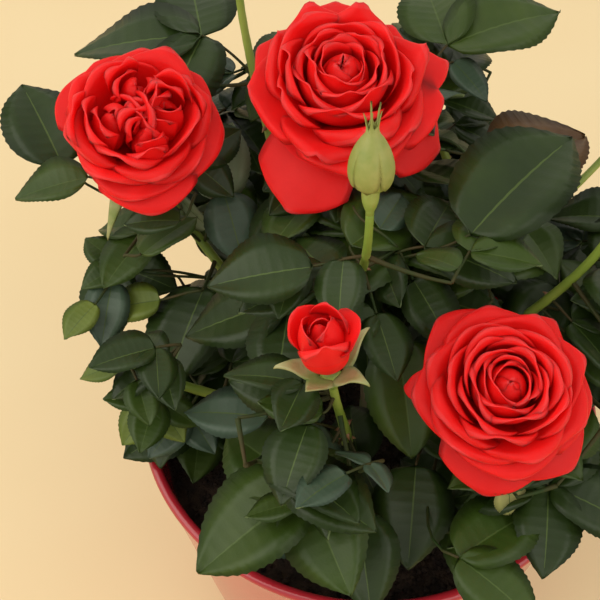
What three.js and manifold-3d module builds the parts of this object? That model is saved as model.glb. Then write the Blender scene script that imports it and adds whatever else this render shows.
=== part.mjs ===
// A rose bush in its pot: a glossy red pot of compost, eight canes, the leafy shoots that
// they carry, and double red blooms and buds at the shoots' tips.
// Millimetres, +Z up. The pot stands on z = 0 and its axis is x = y = 0. Angles are degrees:
// a turn runs round +Z from +X, a rise is above the horizontal, a tilt is away from +Z.
import * as THREE from "three";
import { mergeVertices } from "three/addons/utils/BufferGeometryUtils.js";
import Module from "manifold-3d";

const wasm = await Module();
wasm.setup();

// The pot and its compost
const RIM_RADIUS = 70;
const POT_HEIGHT = 120;
const POT_TAPER = 0.19;
const POT_WALL = 2.6;
const POT_FLOOR = 4;
const POT_SIDES = 36;
const LIP_ROUND = 1.3;
const FOOT_ROUND = 2;
const COMPOST_TOP = 108;
const COMPOST_EDGE_DROP = 5;
const COMPOST_PLATEAU = 36;

// Gaps between neighbouring solids
const SEAM = 0.3;
const CLEARANCE = 1.8;

// Canes and stems: a shoot's path is cut into steps, and the lower ones are its cane
const SHOOT_STEPS = 9;
const CANE_STEPS = 2;
const NECK = CANE_STEPS / SHOOT_STEPS;
const CANE_SIDES = 8;
const STEM_SIDES = 5;
const FOOT_RADIUS = 2.6;
const CANE_TIP_RADIUS = 1.8;
const BRANCH_RADIUS = 1.5;
const STEM_TIP_RADIUS = 1.1;
const ROOT_FLARE = 0.5;
const ROOT_FLARE_FADE = 28;
const START_UPRIGHT = 0.36;
const END_ALONG_AXIS = 0.34;

// Twigs that branch from a shoot, and the stalks of leaves. Each reaches for a place drawn
// by seed in the shoot's space, and starts from the nearest place on the shoot's wood.
const SPREAD = 66;
const SPREAD_UP = 42;
const STEEPEST = 0.75;
const TWIGS = 10;
const TWIG_TRIES = 2000;
const TWIG_SHORTEST = 22;
const TWIG_LONGEST = 46;
const TWIG_RADIUS = 1.2;
const TWIG_STEPS = 2;
const TWIG_SAG = 2.2;
const TWIG_SIDES = 3;
const STALK_RADIUS = 0.8;
const STALK_SHORTEST = 6;
const STALK_LONGEST = 26;
const SPROUTS = 15;
const BARE_ABOVE_NECK = 0.03;
const BARE_BRANCH = 0.2;
const BARE_BELOW_HIP = 0.93;

// Leaves: each has one leaflet ahead and one on either side, where there is room. The large
// ones are tried first, and smaller ones fill what they leave.
const LEAVES = 18;
const LEAF_TRIES = 16000;
const LEAFLET_LARGEST = 38;
const LEAFLET_SMALLEST = 16;
const LEAFLET_ASPECT = 0.7;
const LEAFLET_WIDEST = 0.48;
const LEAFLET_THICKNESS = 0.9;
const LEAFLET_FOLD = 0.16;
const LEAFLET_DROOP = 0.14;
const LEVELLING = new THREE.Vector3(1, 1, 0.45);
const SIDE_SIZE = 0.86;
const SIDE_SWING = 76;
const NOTCH_RADIUS = 1.6;
const NOTCH_BEHIND = 150;
const ROLL = 26;
const LEAF_SPACING = 1.7;
const POSED_SPACING = 5;
const SEED = 7;

// The crown's outline, which the leaves drawn by seed keep inside: it widens from its floor
// to its shoulder, and is domed above that
const CROWN_CENTRE = new THREE.Vector2(3, 21);
const CROWN_FLOOR_RADIUS = 86;
const CROWN_RADIUS = 96;
const CROWN_WIDENING = 0.7;
const CROWN_FLOOR = 112;
const CROWN_SHOULDER = 180;
const CROWN_DOME = 24;

// The place that the plant is seen from. Leaves stay out of the way of each flower on that
// side, and of the openings where the photograph shows nothing behind the crown's edge.
const EYE = new THREE.Vector3(-21, -241, 472);
const OPENINGS = [
  { place: [69, 96, 170], radius: 14 },
  { place: [46, 80, 170], radius: 6 },
  { place: [73, 66, 170], radius: 8 },
  { place: [69, 50, 170], radius: 6 },
  { place: [-85, 38, 170], radius: 7 },
];

// The hip under each flower, and its sepals
const HIP_LENGTH = 7;
const HIP_RADIUS = 2.9;
const HIP_TOP_RADIUS = 2.3;
const HIP_SIDES = 6;
const SEPALS = 5;
const SEPAL_LENGTH = 13;
const SEPAL_THICKNESS = 1;
const SEPAL_SINK = 1.4;
const SEPAL_TILT_OPEN = 112;
const SEPAL_TILT_BUD = 84;
const SEPAL_TIPS = 7;
const BUD_SIDES = 8;

// Blooms: whorls of five lobes, each whorl turned half a lobe from the one below
const WHORLS = 4;
const LOBES = 5;
const LOBE_SHAPE = [1, 0.97, 0.84];
const WHORL_SHRINK = 0.72;
const WHORL_CREASE = 3;

const COLOURS = {
  pot: 0xb3121c,
  compost: 0x2b211b,
  cane: 0x6f7d3c,
  foliage: 0x34502f,
  petal: 0xc8101c,
};

// Each shoot grows from its foot on the compost. Its first stem runs on from the cane, and
// the others branch from that one. A stem ends at the seat, where the petals leave the hip.
// The shoot's leaves keep to the space nearest to its heart, which a larger reach makes
// wider. posed lists the leaves that the photograph shows plainly: how far along the stem
// each starts, where its end leaflet's base and tip are, and which side leaflets it has.
const SHOOTS = [
  {
    name: "left",
    foot: [-24, 10],
    heart: [-74, 34, 170],
    reach: 52,
    stems: [
      {
        seat: [-66, 36, 199],
        axis: { turn: -80, tilt: 20 },
        flower: { kind: "bloom", name: "bloom_left", shown: true, radius: 24, height: 20 },
        posed: [
          { along: 0.62, base: [-90, 37, 186], tip: [-104, 64, 197], sides: [] },
          { along: 0.6, base: [-81, 27, 192], tip: [-103, 24, 189], sides: [] },
          { along: 0.45, base: [-75, 21, 160], tip: [-86, 31, 163], sides: [-1, 1] },
          { along: 0.45, base: [-77, 17, 158], tip: [-80, -2, 152], sides: [] },
          { along: 0.6, base: [-46, 34, 174], tip: [-42, 52, 190], sides: [] },
          { along: 0.3, base: [-50, 16, 156], tip: [-62, -14, 148], sides: [-1] },
        ],
      },
    ],
  },
  {
    name: "centre",
    foot: [0, 2],
    heart: [8, 16, 188],
    reach: 60,
    stems: [
      {
        seat: [-10, 41, 205],
        axis: { turn: -90, tilt: 12 },
        flower: { kind: "bloom", name: "bloom_top", shown: true, radius: 28, height: 21 },
        posed: [{ along: 0.7, base: [-34, 32, 172], tip: [-45, 14, 166], sides: [-1] }],
      },
      {
        from: 0.3,
        seat: [-4, -9, 226],
        axis: { turn: 90, tilt: 15 },
        flower: { kind: "green_bud", shown: true, radius: 6, height: 17 },
        posed: [
          { along: 0.5, base: [24, 1, 197], tip: [54, 34, 209], sides: [] },
          { along: 0.5, base: [12, 1, 192], tip: [39, -4, 188], sides: [1] },
          { along: 0.4, base: [5, -17, 174], tip: [10, -45, 158], sides: [] },
          { along: 0.35, base: [-24, -4, 176], tip: [-56, -6, 165], sides: [1] },
        ],
      },
    ],
  },
  {
    name: "front",
    foot: [-7, -18],
    heart: [-18, -50, 152],
    reach: 46,
    stems: [
      {
        seat: [-14, -40, 192],
        axis: { turn: 200, tilt: 8 },
        flower: { kind: "red_bud", name: "red_bud_front", shown: true, radius: 9, height: 21 },
        posed: [
          { along: 0.4, base: [-20, -50, 152], tip: [-50, -70, 143], sides: [-1, 1] },
          { along: 0.45, base: [-30, -34, 162], tip: [-54, -29, 161], sides: [] },
          { along: 0.3, base: [-6, -54, 146], tip: [-2, -80, 138], sides: [-1] },
        ],
      },
    ],
  },
  {
    name: "right_front",
    foot: [17, -14],
    heart: [44, -48, 140],
    reach: 50,
    stems: [
      {
        seat: [31, -34, 172],
        axis: { turn: -85, tilt: 24 },
        flower: { kind: "bloom", name: "bloom_right", shown: true, radius: 25, height: 19 },
        posed: [
          { along: 0.3, base: [20, -70, 150], tip: [44, -52, 150], sides: [-1] },
          { along: 0.25, base: [11, -38, 144], tip: [8, -66, 138], sides: [] },
          { along: 0.4, base: [46, -48, 150], tip: [74, -58, 146], sides: [-1, 1] },
        ],
      },
    ],
  },
  {
    name: "left_front",
    foot: [-22, -10],
    heart: [-62, -20, 144],
    reach: 46,
    stems: [
      {
        seat: [-72, -20, 172],
        axis: { turn: 200, tilt: 30 },
        flower: { kind: "none" },
        posed: [
          { along: 0.7, base: [-71, -8, 141], tip: [-87, -3, 139], sides: [] },
          { along: 0.7, base: [-67, -14, 140], tip: [-76, -24, 137], sides: [-1, 1] },
          { along: 0.4, base: [-48, -31, 146], tip: [-61, -44, 140], sides: [-1, 1] },
        ],
      },
    ],
  },
  {
    name: "right",
    foot: [24, 4],
    heart: [80, 8, 152],
    reach: 52,
    stems: [
      {
        seat: [62, -2, 213],
        axis: { turn: -30, tilt: 5 },
        flower: { kind: "green_bud", radius: 5.5, height: 17 },
        posed: [{ along: 0.45, base: [54, 10, 164], tip: [38, -14, 160], sides: [-1] }],
      },
    ],
  },
  {
    name: "back_right",
    foot: [14, 20],
    heart: [44, 88, 168],
    reach: 52,
    stems: [
      {
        seat: [84, 80, 156],
        axis: { turn: 35, tilt: 50 },
        flower: { kind: "red_bud", name: "red_bud_back", radius: 9, height: 21 },
        posed: [
          { along: 0.4, base: [36, 40, 181], tip: [67, 62, 180], sides: [] },
        ],
      },
      {
        from: 0.3,
        seat: [17, 74, 204],
        axis: { turn: 70, tilt: 20 },
        flower: { kind: "none" },
        posed: [
          { along: 0.9, base: [23, 77, 197], tip: [58, 92, 205], sides: [1] },
          { along: 0.85, base: [25, 74, 193], tip: [36, 64, 188], sides: [] },
        ],
      },
      {
        from: 0.36,
        seat: [-4, 90, 158],
        axis: { turn: 90, tilt: 38 },
        flower: { kind: "bloom", name: "bloom_back", radius: 24, height: 19 },
        posed: [],
      },
    ],
  },
  {
    name: "back_left",
    foot: [-14, 20],
    heart: [-48, 92, 176],
    reach: 52,
    stems: [
      {
        seat: [-40, 84, 228],
        axis: { turn: 100, tilt: 8 },
        flower: { kind: "green_bud", radius: 5.5, height: 17 },
        posed: [
          { along: 0.75, base: [-51, 79, 199], tip: [-92, 82, 197], sides: [-1, 1] },
        ],
      },
    ],
  },
];

const UP = new THREE.Vector3(0, 0, 1);
const { clamp, lerp: mix, degToRad: radians } = THREE.MathUtils;

// Seeded numbers from 0 to 1: the same seed always gives the same run of them
function seededRandom(seed) {
  let state = seed >>> 0;
  return () => {
    state = (state + 0x6d2b79f5) >>> 0;
    let mixed = Math.imul(state ^ (state >>> 15), state | 1);
    mixed ^= mixed + Math.imul(mixed ^ (mixed >>> 7), mixed | 61);
    return ((mixed ^ (mixed >>> 14)) >>> 0) / 4294967296;
  };
}

function heading({ turn, tilt }) {
  return new THREE.Vector3(
    Math.sin(radians(tilt)) * Math.cos(radians(turn)),
    Math.sin(radians(tilt)) * Math.sin(radians(turn)),
    Math.cos(radians(tilt)),
  );
}

function facesToGeometry(faces) {
  const corners = faces.flat().flatMap((corner) => corner.toArray());
  const geometry = new THREE.BufferGeometry();
  geometry.setAttribute("position", new THREE.Float32BufferAttribute(corners, 3));
  return geometry;
}

// The faces between two rings that go anticlockwise seen from the higher one. Either ring
// may be one point.
function bandFaces(low, high) {
  const faces = [];
  const count = Math.max(low.length, high.length);
  for (let j = 0; j < count; j += 1) {
    const next = (j + 1) % count;
    if (low.length > 1) {
      faces.push([low[j], low[next], high[next % high.length]]);
    }
    if (high.length > 1) {
      faces.push([low[j % low.length], high[next], high[j]]);
    }
  }
  return faces;
}

// The flat face inside a ring, seen from the side that it goes anticlockwise from
function capFaces(ring) {
  return ring.slice(2).map((corner, j) => [ring[0], ring[j + 1], corner]);
}

// A closed skin through rings, with flat ends where the first and last are not one point
function skin(rings) {
  return facesToGeometry([
    ...capFaces(rings[0].toReversed()),
    ...rings.slice(1).flatMap((ring, i) => bandFaces(rings[i], ring)),
    ...capFaces(rings[rings.length - 1]),
  ]);
}

// A ring of a tube, square to the path
function tubeRing(centre, normal, binormal, radius, sides) {
  return Array.from({ length: sides }, (_, j) => {
    const angle = (2 * Math.PI * j) / sides;
    return centre
      .clone()
      .addScaledVector(normal, radius * Math.cos(angle))
      .addScaledVector(binormal, radius * Math.sin(angle));
  });
}

// A tapering tube along part of a curve, from one step of it to another
function taperedTube({ curve, steps, from, to, sides, radiusAt }) {
  const frames = curve.computeFrenetFrames(steps, false);
  const rings = [];
  for (let i = from; i <= to; i += 1) {
    const centre = curve.getPointAt(i / steps);
    if (i === from) {
      centre.addScaledVector(frames.tangents[i], SEAM);
    }
    rings.push(
      tubeRing(centre, frames.normals[i], frames.binormals[i], radiusAt(i / steps), sides),
    );
  }
  return skin(rings);
}

function toSolid(geometry) {
  const bare = geometry.clone();
  bare.deleteAttribute("normal");
  bare.deleteAttribute("uv");
  const merged = mergeVertices(bare, 1e-4);
  return new wasm.Manifold(
    new wasm.Mesh({
      numProp: 3,
      vertProperties: new Float32Array(merged.attributes.position.array),
      triVerts: new Uint32Array(merged.index.array),
    }),
  );
}

// Fuses closed geometries into one body. A loose scrap is dropped, and a sealed hollow filled.
function fuse(geometries) {
  const whole = geometries.map(toSolid).reduce((sum, solid) => sum.add(solid));
  const body = whole.decompose().reduce((a, b) => (a.volume() > b.volume() ? a : b));
  const mesh = body.getMesh();
  const geometry = new THREE.BufferGeometry();
  geometry.setAttribute("position", new THREE.BufferAttribute(mesh.vertProperties, 3));
  geometry.setIndex(new THREE.BufferAttribute(mesh.triVerts, 1));
  return geometry;
}

// Stems

// A stem's path: upright where it starts, and along its flower's axis where it ends
function stemPath(start, startDirection, { seat, axis }) {
  const end = new THREE.Vector3(...seat).addScaledVector(heading(axis), -HIP_LENGTH);
  const span = end.distanceTo(start);
  return new THREE.CubicBezierCurve3(
    start,
    start.clone().addScaledVector(startDirection, START_UPRIGHT * span),
    end.clone().addScaledVector(heading(axis), -END_ALONG_AXIS * span),
    end,
  );
}

function shootPaths({ foot, stems }) {
  const main = stemPath(new THREE.Vector3(...foot, COMPOST_TOP), UP, stems[0]);
  const branches = stems
    .slice(1)
    .map((stem) => stemPath(main.getPointAt(stem.from), main.getTangentAt(stem.from), stem));
  return [main, ...branches];
}

function caneRadius(u) {
  const flare = 1 + ROOT_FLARE * Math.exp(-u * ROOT_FLARE_FADE);
  return mix(FOOT_RADIUS, CANE_TIP_RADIUS, u / NECK) * flare;
}

function stemRadius(u) {
  return mix(CANE_TIP_RADIUS, STEM_TIP_RADIUS, (u - NECK) / (1 - NECK));
}

function branchRadius(u) {
  return mix(BRANCH_RADIUS, STEM_TIP_RADIUS, u);
}

const paths = SHOOTS.map(shootPaths);
const limbPoints = paths.map((curves) => curves.flatMap((curve) => curve.getSpacedPoints(40)));
const hearts = SHOOTS.map((shoot) => new THREE.Vector3(...shoot.heart));
const flowers = SHOOTS.flatMap(({ stems }) => stems)
  .filter(({ flower }) => flower.kind !== "none")
  .map(({ seat, axis, flower }) => ({
    seat: new THREE.Vector3(...seat),
    axis: heading(axis),
    radius: flower.radius,
    height: flower.height,
    shown: flower.shown,
  }));

// What keeps a leaf out

function ownSpace(point, own) {
  const power = (i) => point.distanceToSquared(hearts[i]) - SHOOTS[i].reach ** 2;
  const mine = power(own);
  return SHOOTS.every((_, i) => {
    if (i === own) {
      return true;
    }
    const margin = (power(i) - mine) / (2 * hearts[i].distanceTo(hearts[own]));
    return margin > CLEARANCE / 2;
  });
}

function insideCrown(point) {
  const rise = clamp((point.z - CROWN_FLOOR) / (CROWN_SHOULDER - CROWN_FLOOR), 0, 1);
  const widest = mix(CROWN_FLOOR_RADIUS, CROWN_RADIUS, rise ** CROWN_WIDENING);
  const reach = CROWN_CENTRE.distanceTo(point) / widest;
  const top = CROWN_SHOULDER + CROWN_DOME * (1 - reach ** 2);
  return reach < 1 && point.z < top && point.z > CROWN_FLOOR;
}

function clearOfPot(point) {
  const offWall = Math.abs(Math.hypot(point.x, point.y) - RIM_RADIUS) > POT_WALL + 2 * CLEARANCE;
  return point.z > POT_HEIGHT + CLEARANCE || offWall;
}

// How far a point is from the line of sight through a place, and how far in front of it
function fromSight(point, place) {
  const sight = EYE.clone().sub(place).normalize();
  const offset = point.clone().sub(place);
  const ahead = offset.dot(sight);
  return { ahead, beside: Math.sqrt(Math.max(offset.lengthSq() - ahead ** 2, 0)) };
}

function clearOfOpenings(point) {
  return OPENINGS.every(
    ({ place, radius }) => fromSight(point, new THREE.Vector3(...place)).beside > radius,
  );
}

function clearOfFlowers(point) {
  return flowers.every(({ seat, axis, radius, height, shown }) => {
    const middle = seat.clone().addScaledVector(axis, height / 2);
    const offset = point.clone().sub(middle);
    const along = offset.dot(axis);
    const across = Math.sqrt(Math.max(offset.lengthSq() - along ** 2, 0));
    const inside = (across / (radius + CLEARANCE)) ** 2 + (along / (0.62 * height + CLEARANCE)) ** 2;
    const { ahead, beside } = fromSight(point, middle);
    return inside > 1 && (!shown || ahead < 0 || beside > radius);
  });
}

function clearOfLimbs(point, own) {
  const far = CANE_TIP_RADIUS + CLEARANCE;
  return limbPoints.every(
    (limb, i) => i === own || limb.every((centre) => point.distanceTo(centre) > far),
  );
}

function clearOfLeaves(points, taken) {
  const near = LEAF_SPACING ** 2;
  return taken.every((other) =>
    points.every((point) => other.every((spot) => point.distanceToSquared(spot) > near)),
  );
}

// Leaflets

// Half the leaflet's width at t along it, from 0 at its root to 1 at its tip
function leafletHalfWidth(leaflet, t) {
  const round = Math.sin(Math.PI * t ** 0.8);
  return 0.5 * leaflet.size * leaflet.aspect * round ** (0.6 + 0.5 * t);
}

// A point of the leaflet's upper face, at t along it and v from -1 to 1 across it
function leafletPoint(leaflet, t, v) {
  const { root, along, face, size } = leaflet;
  const right = along.clone().cross(face);
  const half = leafletHalfWidth(leaflet, t);
  return root
    .clone()
    .addScaledVector(along, size * t)
    .addScaledVector(right, half * v)
    .addScaledVector(face, LEAFLET_FOLD * half * Math.abs(v) - leaflet.droop * size * t ** 2);
}

function leafletSamples(leaflet) {
  const points = [];
  for (const t of [0.12, 0.26, 0.4, 0.55, 0.7, 0.85, 1]) {
    for (const v of [-1, -0.5, 0, 0.5, 1]) {
      points.push(leafletPoint(leaflet, t, v));
    }
  }
  return points;
}

function squareTo(direction, wanted) {
  return wanted.clone().addScaledVector(direction, -wanted.dot(direction)).normalize();
}

function makeLeaflet(root, along, face, size) {
  return {
    root,
    along,
    face: squareTo(along, face),
    size,
    aspect: LEAFLET_ASPECT,
    droop: LEAFLET_DROOP,
  };
}

// A leaf: its leaflets fan out from the end of its stalk, the middle one straight ahead
function makeLeaf({ start, end, forward, roll, size, sides }) {
  const stalk = new THREE.LineCurve3(start, end);
  const face = squareTo(forward, UP).applyAxisAngle(forward, radians(roll));
  const leaflets = [0, ...sides].map((side) => {
    const along = forward.clone().applyAxisAngle(face, side * radians(SIDE_SWING));
    return { ...makeLeaflet(end, along, face, side === 0 ? size : size * SIDE_SIZE), side };
  });
  return { stalk, leaflets };
}

// A leaf is one thin solid. Its outline runs round each leaflet in turn, with a notch between
// them near the stalk's end, and its four-sided stalk ends inside the stem.
function leafSkin({ stalk, leaflets }) {
  const { root, along, face } = leaflets[0];
  const notch = (angle) => {
    const away = along.clone().applyAxisAngle(face, radians(angle));
    return root.clone().addScaledVector(away, NOTCH_RADIUS);
  };
  const edge = (side) => {
    const leaflet = leaflets.find((each) => each.side === side);
    const points = [
      [LEAFLET_WIDEST, 1],
      [1, 0],
      [LEAFLET_WIDEST, -1],
    ];
    return leaflet ? points.map(([t, v]) => leafletPoint(leaflet, t, v)) : [];
  };
  const behindRight = notch(-NOTCH_BEHIND);
  const behindLeft = notch(NOTCH_BEHIND);
  const gap = SIDE_SWING / 2;
  const outline = [
    behindRight,
    ...edge(-1),
    notch(-gap),
    ...edge(0),
    notch(gap),
    ...edge(1),
    behindLeft,
  ];
  const under = root.clone().addScaledVector(face, -LEAFLET_THICKNESS / 2);
  const over = root.clone().addScaledVector(face, LEAFLET_THICKNESS / 2);
  const blade = outline
    .slice(1)
    .flatMap((corner, j) => [
      [over, outline[j], corner],
      [under, corner, outline[j]],
    ]);
  const tangent = stalk.getTangent(0);
  const normal = squareTo(tangent, face);
  const binormal = tangent.clone().cross(normal);
  const foot = tubeRing(stalk.getPoint(0), normal, binormal, STALK_RADIUS, 4);
  return facesToGeometry([
    ...blade,
    ...capFaces(foot.toReversed()),
    ...bandFaces(foot, [over, behindRight, under, behindLeft]),
  ]);
}

// A leaf of the list, with its end leaflet from the base to the tip that the list gives
function posedLeaf(path, { along, base, tip, sides }) {
  const start = path.getPointAt(along);
  const end = new THREE.Vector3(...base);
  const blade = new THREE.Vector3(...tip).sub(end);
  const size = blade.length();
  return makeLeaf({ start, end, forward: blade.normalize(), roll: 0, size, sides });
}

function leafSpots({ stalk, leaflets }) {
  return [stalk.getPoints(5).slice(2), ...leaflets.map(leafletSamples)];
}

// The listed leaves, less what would meet something listed before
const posedLeaves = SHOOTS.map(() => []);
const posedSpots = SHOOTS.map(() => []);

function clearOfPosed(point, own) {
  const near = POSED_SPACING ** 2;
  return posedSpots.every(
    (spots, i) => i === own || spots.every((spot) => spot.distanceToSquared(point) > near),
  );
}

SHOOTS.forEach(({ stems }, own) => {
  const clear = (point) =>
    clearOfPot(point) &&
    clearOfFlowers(point) &&
    clearOfLimbs(point, own) &&
    clearOfPosed(point, own);
  stems.forEach(({ posed }, i) => {
    for (const each of posed) {
      const { stalk, leaflets } = posedLeaf(paths[own][i], each);
      const kept = leaflets.filter((leaflet) => leafletSamples(leaflet).every(clear));
      const leaf = { stalk, leaflets: kept };
      if (kept.length > 0 && kept[0].side === 0 && stalk.getPoints(5).slice(2).every(clear)) {
        posedLeaves[own].push(leaf);
        posedSpots[own].push(...leafSpots(leaf).flat());
      }
    }
  });
});

// Everything that grows on one shoot above its cane, fused into one mass
function growMass(own) {
  const shoot = SHOOTS[own];
  const draw = seededRandom(SEED + own);
  const taken = [];
  const pieces = [];
  const network = paths[own].flatMap((path, i) => {
    const from = i === 0 ? NECK + BARE_ABOVE_NECK : BARE_BRANCH;
    return Array.from({ length: SPROUTS }, (_, j) =>
      path.getPointAt(mix(from, BARE_BELOW_HIP, j / (SPROUTS - 1))),
    );
  });
  const clear = (point) =>
    clearOfPot(point) &&
    clearOfFlowers(point) &&
    clearOfLimbs(point, own) &&
    clearOfPosed(point, own);
  const fits = (point) =>
    insideCrown(point) && ownSpace(point, own) && clearOfOpenings(point) && clear(point);

  const place = (leaf, allowed, least) => {
    const stalkSamples = leaf.stalk.getPoints(5).slice(2);
    if (!stalkSamples.every(allowed) || !clearOfLeaves(stalkSamples, taken)) {
      return false;
    }
    const kept = leaf.leaflets.filter((leaflet) => {
      const samples = leafletSamples(leaflet);
      return samples.every(allowed) && clearOfLeaves(samples, taken);
    });
    if (kept.length < least || kept[0].side !== 0) {
      return false;
    }
    pieces.push(leafSkin({ stalk: leaf.stalk, leaflets: kept }));
    taken.push(stalkSamples, ...kept.map(leafletSamples));
    return true;
  };

  // A place for a twig or leaf to reach, and the nearest place that it can grow from
  const pick = (shortest, longest) => {
    const end = new THREE.Vector3(
      mix(-SPREAD, SPREAD, draw()),
      mix(-SPREAD, SPREAD, draw()),
      mix(-SPREAD_UP, SPREAD_UP, draw()),
    ).add(hearts[own]);
    const start = network.reduce((a, b) =>
      a.distanceToSquared(end) < b.distanceToSquared(end) ? a : b,
    );
    const length = start.distanceTo(end);
    const steep = Math.abs(end.z - start.z) / length;
    const good = length > shortest && length < longest && steep < STEEPEST && fits(end);
    return good ? { start, end } : null;
  };

  for (const leaf of posedLeaves[own]) {
    pieces.push(leafSkin(leaf));
    taken.push(...leafSpots(leaf));
  }
  shoot.stems.forEach((stem, i) => {
    const curve = paths[own][i];
    pieces.push(
      taperedTube({
        curve,
        steps: SHOOT_STEPS,
        from: i === 0 ? CANE_STEPS : 0,
        to: SHOOT_STEPS,
        sides: STEM_SIDES,
        radiusAt: i === 0 ? stemRadius : branchRadius,
      }),
      ...growHip(stem),
    );
  });

  let twigs = 0;
  for (let i = 0; i < TWIG_TRIES && twigs < TWIGS; i += 1) {
    const reach = pick(TWIG_SHORTEST, TWIG_LONGEST);
    if (reach) {
      const { start, end } = reach;
      const middle = start.clone().lerp(end, 0.5).addScaledVector(UP, -TWIG_SAG);
      const twig = new THREE.QuadraticBezierCurve3(start, middle, end);
      const samples = twig.getPoints(8).slice(2);
      if (samples.every(fits) && clearOfLeaves(samples, taken)) {
        pieces.push(thinTube(twig, TWIG_STEPS, TWIG_RADIUS));
        network.push(...samples.slice(2));
        twigs += 1;
      }
    }
  }

  let leaves = 0;
  for (let i = 0; i < LEAF_TRIES && leaves < LEAVES; i += 1) {
    const reach = pick(STALK_SHORTEST, STALK_LONGEST);
    if (reach) {
      const size = mix(LEAFLET_LARGEST, LEAFLET_SMALLEST, i / LEAF_TRIES);
      const forward = reach.end.clone().sub(reach.start).normalize().multiply(LEVELLING).normalize();
      const roll = mix(-ROLL, ROLL, draw());
      const leaf = makeLeaf({ ...reach, forward, roll, size, sides: [-1, 1] });
      if (place(leaf, fits, i < LEAF_TRIES / 2 ? 3 : 2)) {
        leaves += 1;
      }
    }
  }
  return fuse(pieces);
}

function thinTube(curve, steps, radius) {
  const radiusAt = () => radius;
  return taperedTube({ curve, steps, from: 0, to: steps, sides: TWIG_SIDES, radiusAt });
}

// Rings round an axis: each row is a height above the origin and a radius
function turned(origin, axis, rows, sides) {
  const turnTo = new THREE.Quaternion().setFromUnitVectors(UP, axis);
  return skin(
    rows.map(([height, radius]) => {
      const centre = origin.clone().addScaledVector(axis, height);
      if (radius === 0) {
        return [centre];
      }
      const normal = new THREE.Vector3(1, 0, 0).applyQuaternion(turnTo);
      const binormal = new THREE.Vector3(0, 1, 0).applyQuaternion(turnTo);
      return tubeRing(centre, normal, binormal, radius, sides);
    }),
  );
}

// The hip, with its sepals spread under an open flower or closed over a green bud
function growHip({ seat, axis: lean, flower }) {
  const { kind, radius, height } = flower;
  if (kind === "none") {
    return [];
  }
  const origin = new THREE.Vector3(...seat);
  const axis = heading(lean);
  const hip = [
    [-HIP_LENGTH - 1, STEM_TIP_RADIUS * 0.9],
    [-0.6 * HIP_LENGTH, HIP_RADIUS],
    [0, HIP_TOP_RADIUS],
  ];
  if (kind === "green_bud") {
    const bud = [
      [0.3 * height, radius],
      [0.75 * height, 0.6 * radius],
      [height, 0.15 * radius],
      [height + SEPAL_TIPS, 0],
    ];
    return [turned(origin, axis, [...hip, ...bud], BUD_SIDES)];
  }
  const turnTo = new THREE.Quaternion().setFromUnitVectors(UP, axis);
  const root = origin.clone().addScaledVector(axis, -SEPAL_SINK);
  const outline = Array.from({ length: 2 * SEPALS }, (_, i) => {
    const turn = lean.turn + (180 / SEPALS) * i;
    const tilt = kind === "bloom" ? SEPAL_TILT_OPEN : SEPAL_TILT_BUD;
    const length = i % 2 === 0 ? SEPAL_LENGTH : HIP_TOP_RADIUS + 0.6;
    const outward = heading({ turn, tilt }).applyQuaternion(turnTo);
    return root.clone().addScaledVector(outward, length);
  });
  const under = root.clone().addScaledVector(axis, -SEPAL_THICKNESS);
  const over = root.clone().addScaledVector(axis, SEPAL_THICKNESS / 2);
  return [turned(origin, axis, hip, HIP_SIDES), skin([[under], outline, [over]])];
}

// Petals

// A ring of a whorl: lobed, with its lobes turned half a lobe from one whorl to the next
function lobedRing(height, radius, whorl) {
  const count = LOBES * LOBE_SHAPE.length;
  return Array.from({ length: count }, (_, j) => {
    const angle = (2 * Math.PI * (j + (whorl % 2) * LOBE_SHAPE.length * 0.5)) / count;
    const reach = radius * LOBE_SHAPE[j % LOBE_SHAPE.length];
    return new THREE.Vector3(reach * Math.cos(angle), reach * Math.sin(angle), height);
  });
}

function growBloom({ radius, height }) {
  const rings = [
    lobedRing(SEAM, HIP_TOP_RADIUS * 0.9, 0),
    lobedRing(0.2 * height, 0.62 * radius, 0),
  ];
  for (let k = 0; k < WHORLS; k += 1) {
    const reach = radius * WHORL_SHRINK ** k;
    const level = height * mix(0.5, 1, Math.sqrt(k / (WHORLS - 1)));
    rings.push(lobedRing(level, reach, k));
    rings.push(lobedRing(level - WHORL_CREASE, 0.86 * reach * WHORL_SHRINK, k));
  }
  return skin([...rings, [new THREE.Vector3(0, 0, 0.8 * height)]]);
}

function growRedBud({ radius, height }) {
  return skin([
    lobedRing(SEAM, HIP_TOP_RADIUS * 0.9, 0),
    lobedRing(0.25 * height, 0.85 * radius, 0),
    lobedRing(0.6 * height, radius, 0),
    lobedRing(height, 0.8 * radius, 0),
    lobedRing(height - WHORL_CREASE, 0.5 * radius, 1),
    lobedRing(0.95 * height, 0.28 * radius, 1),
    [new THREE.Vector3(0, 0, 0.9 * height)],
  ]);
}

// The pot and the compost

function turnedProfile(points) {
  const profile = points.map(([radius, height]) => new THREE.Vector2(radius, height));
  return new THREE.LatheGeometry(profile, POT_SIDES).rotateX(Math.PI / 2);
}

function potRadius(height) {
  return RIM_RADIUS - POT_TAPER * (POT_HEIGHT - height);
}

function makePot() {
  return turnedProfile([
    [0, 0],
    [potRadius(0) - FOOT_ROUND, 0],
    [potRadius(0), FOOT_ROUND],
    [potRadius(POT_HEIGHT - 2 * LIP_ROUND), POT_HEIGHT - 2 * LIP_ROUND],
    [RIM_RADIUS, POT_HEIGHT - LIP_ROUND],
    [RIM_RADIUS - LIP_ROUND, POT_HEIGHT],
    [RIM_RADIUS - POT_WALL, POT_HEIGHT - LIP_ROUND],
    [potRadius(POT_FLOOR) - POT_WALL, POT_FLOOR],
    [0, POT_FLOOR],
  ]);
}

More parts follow.
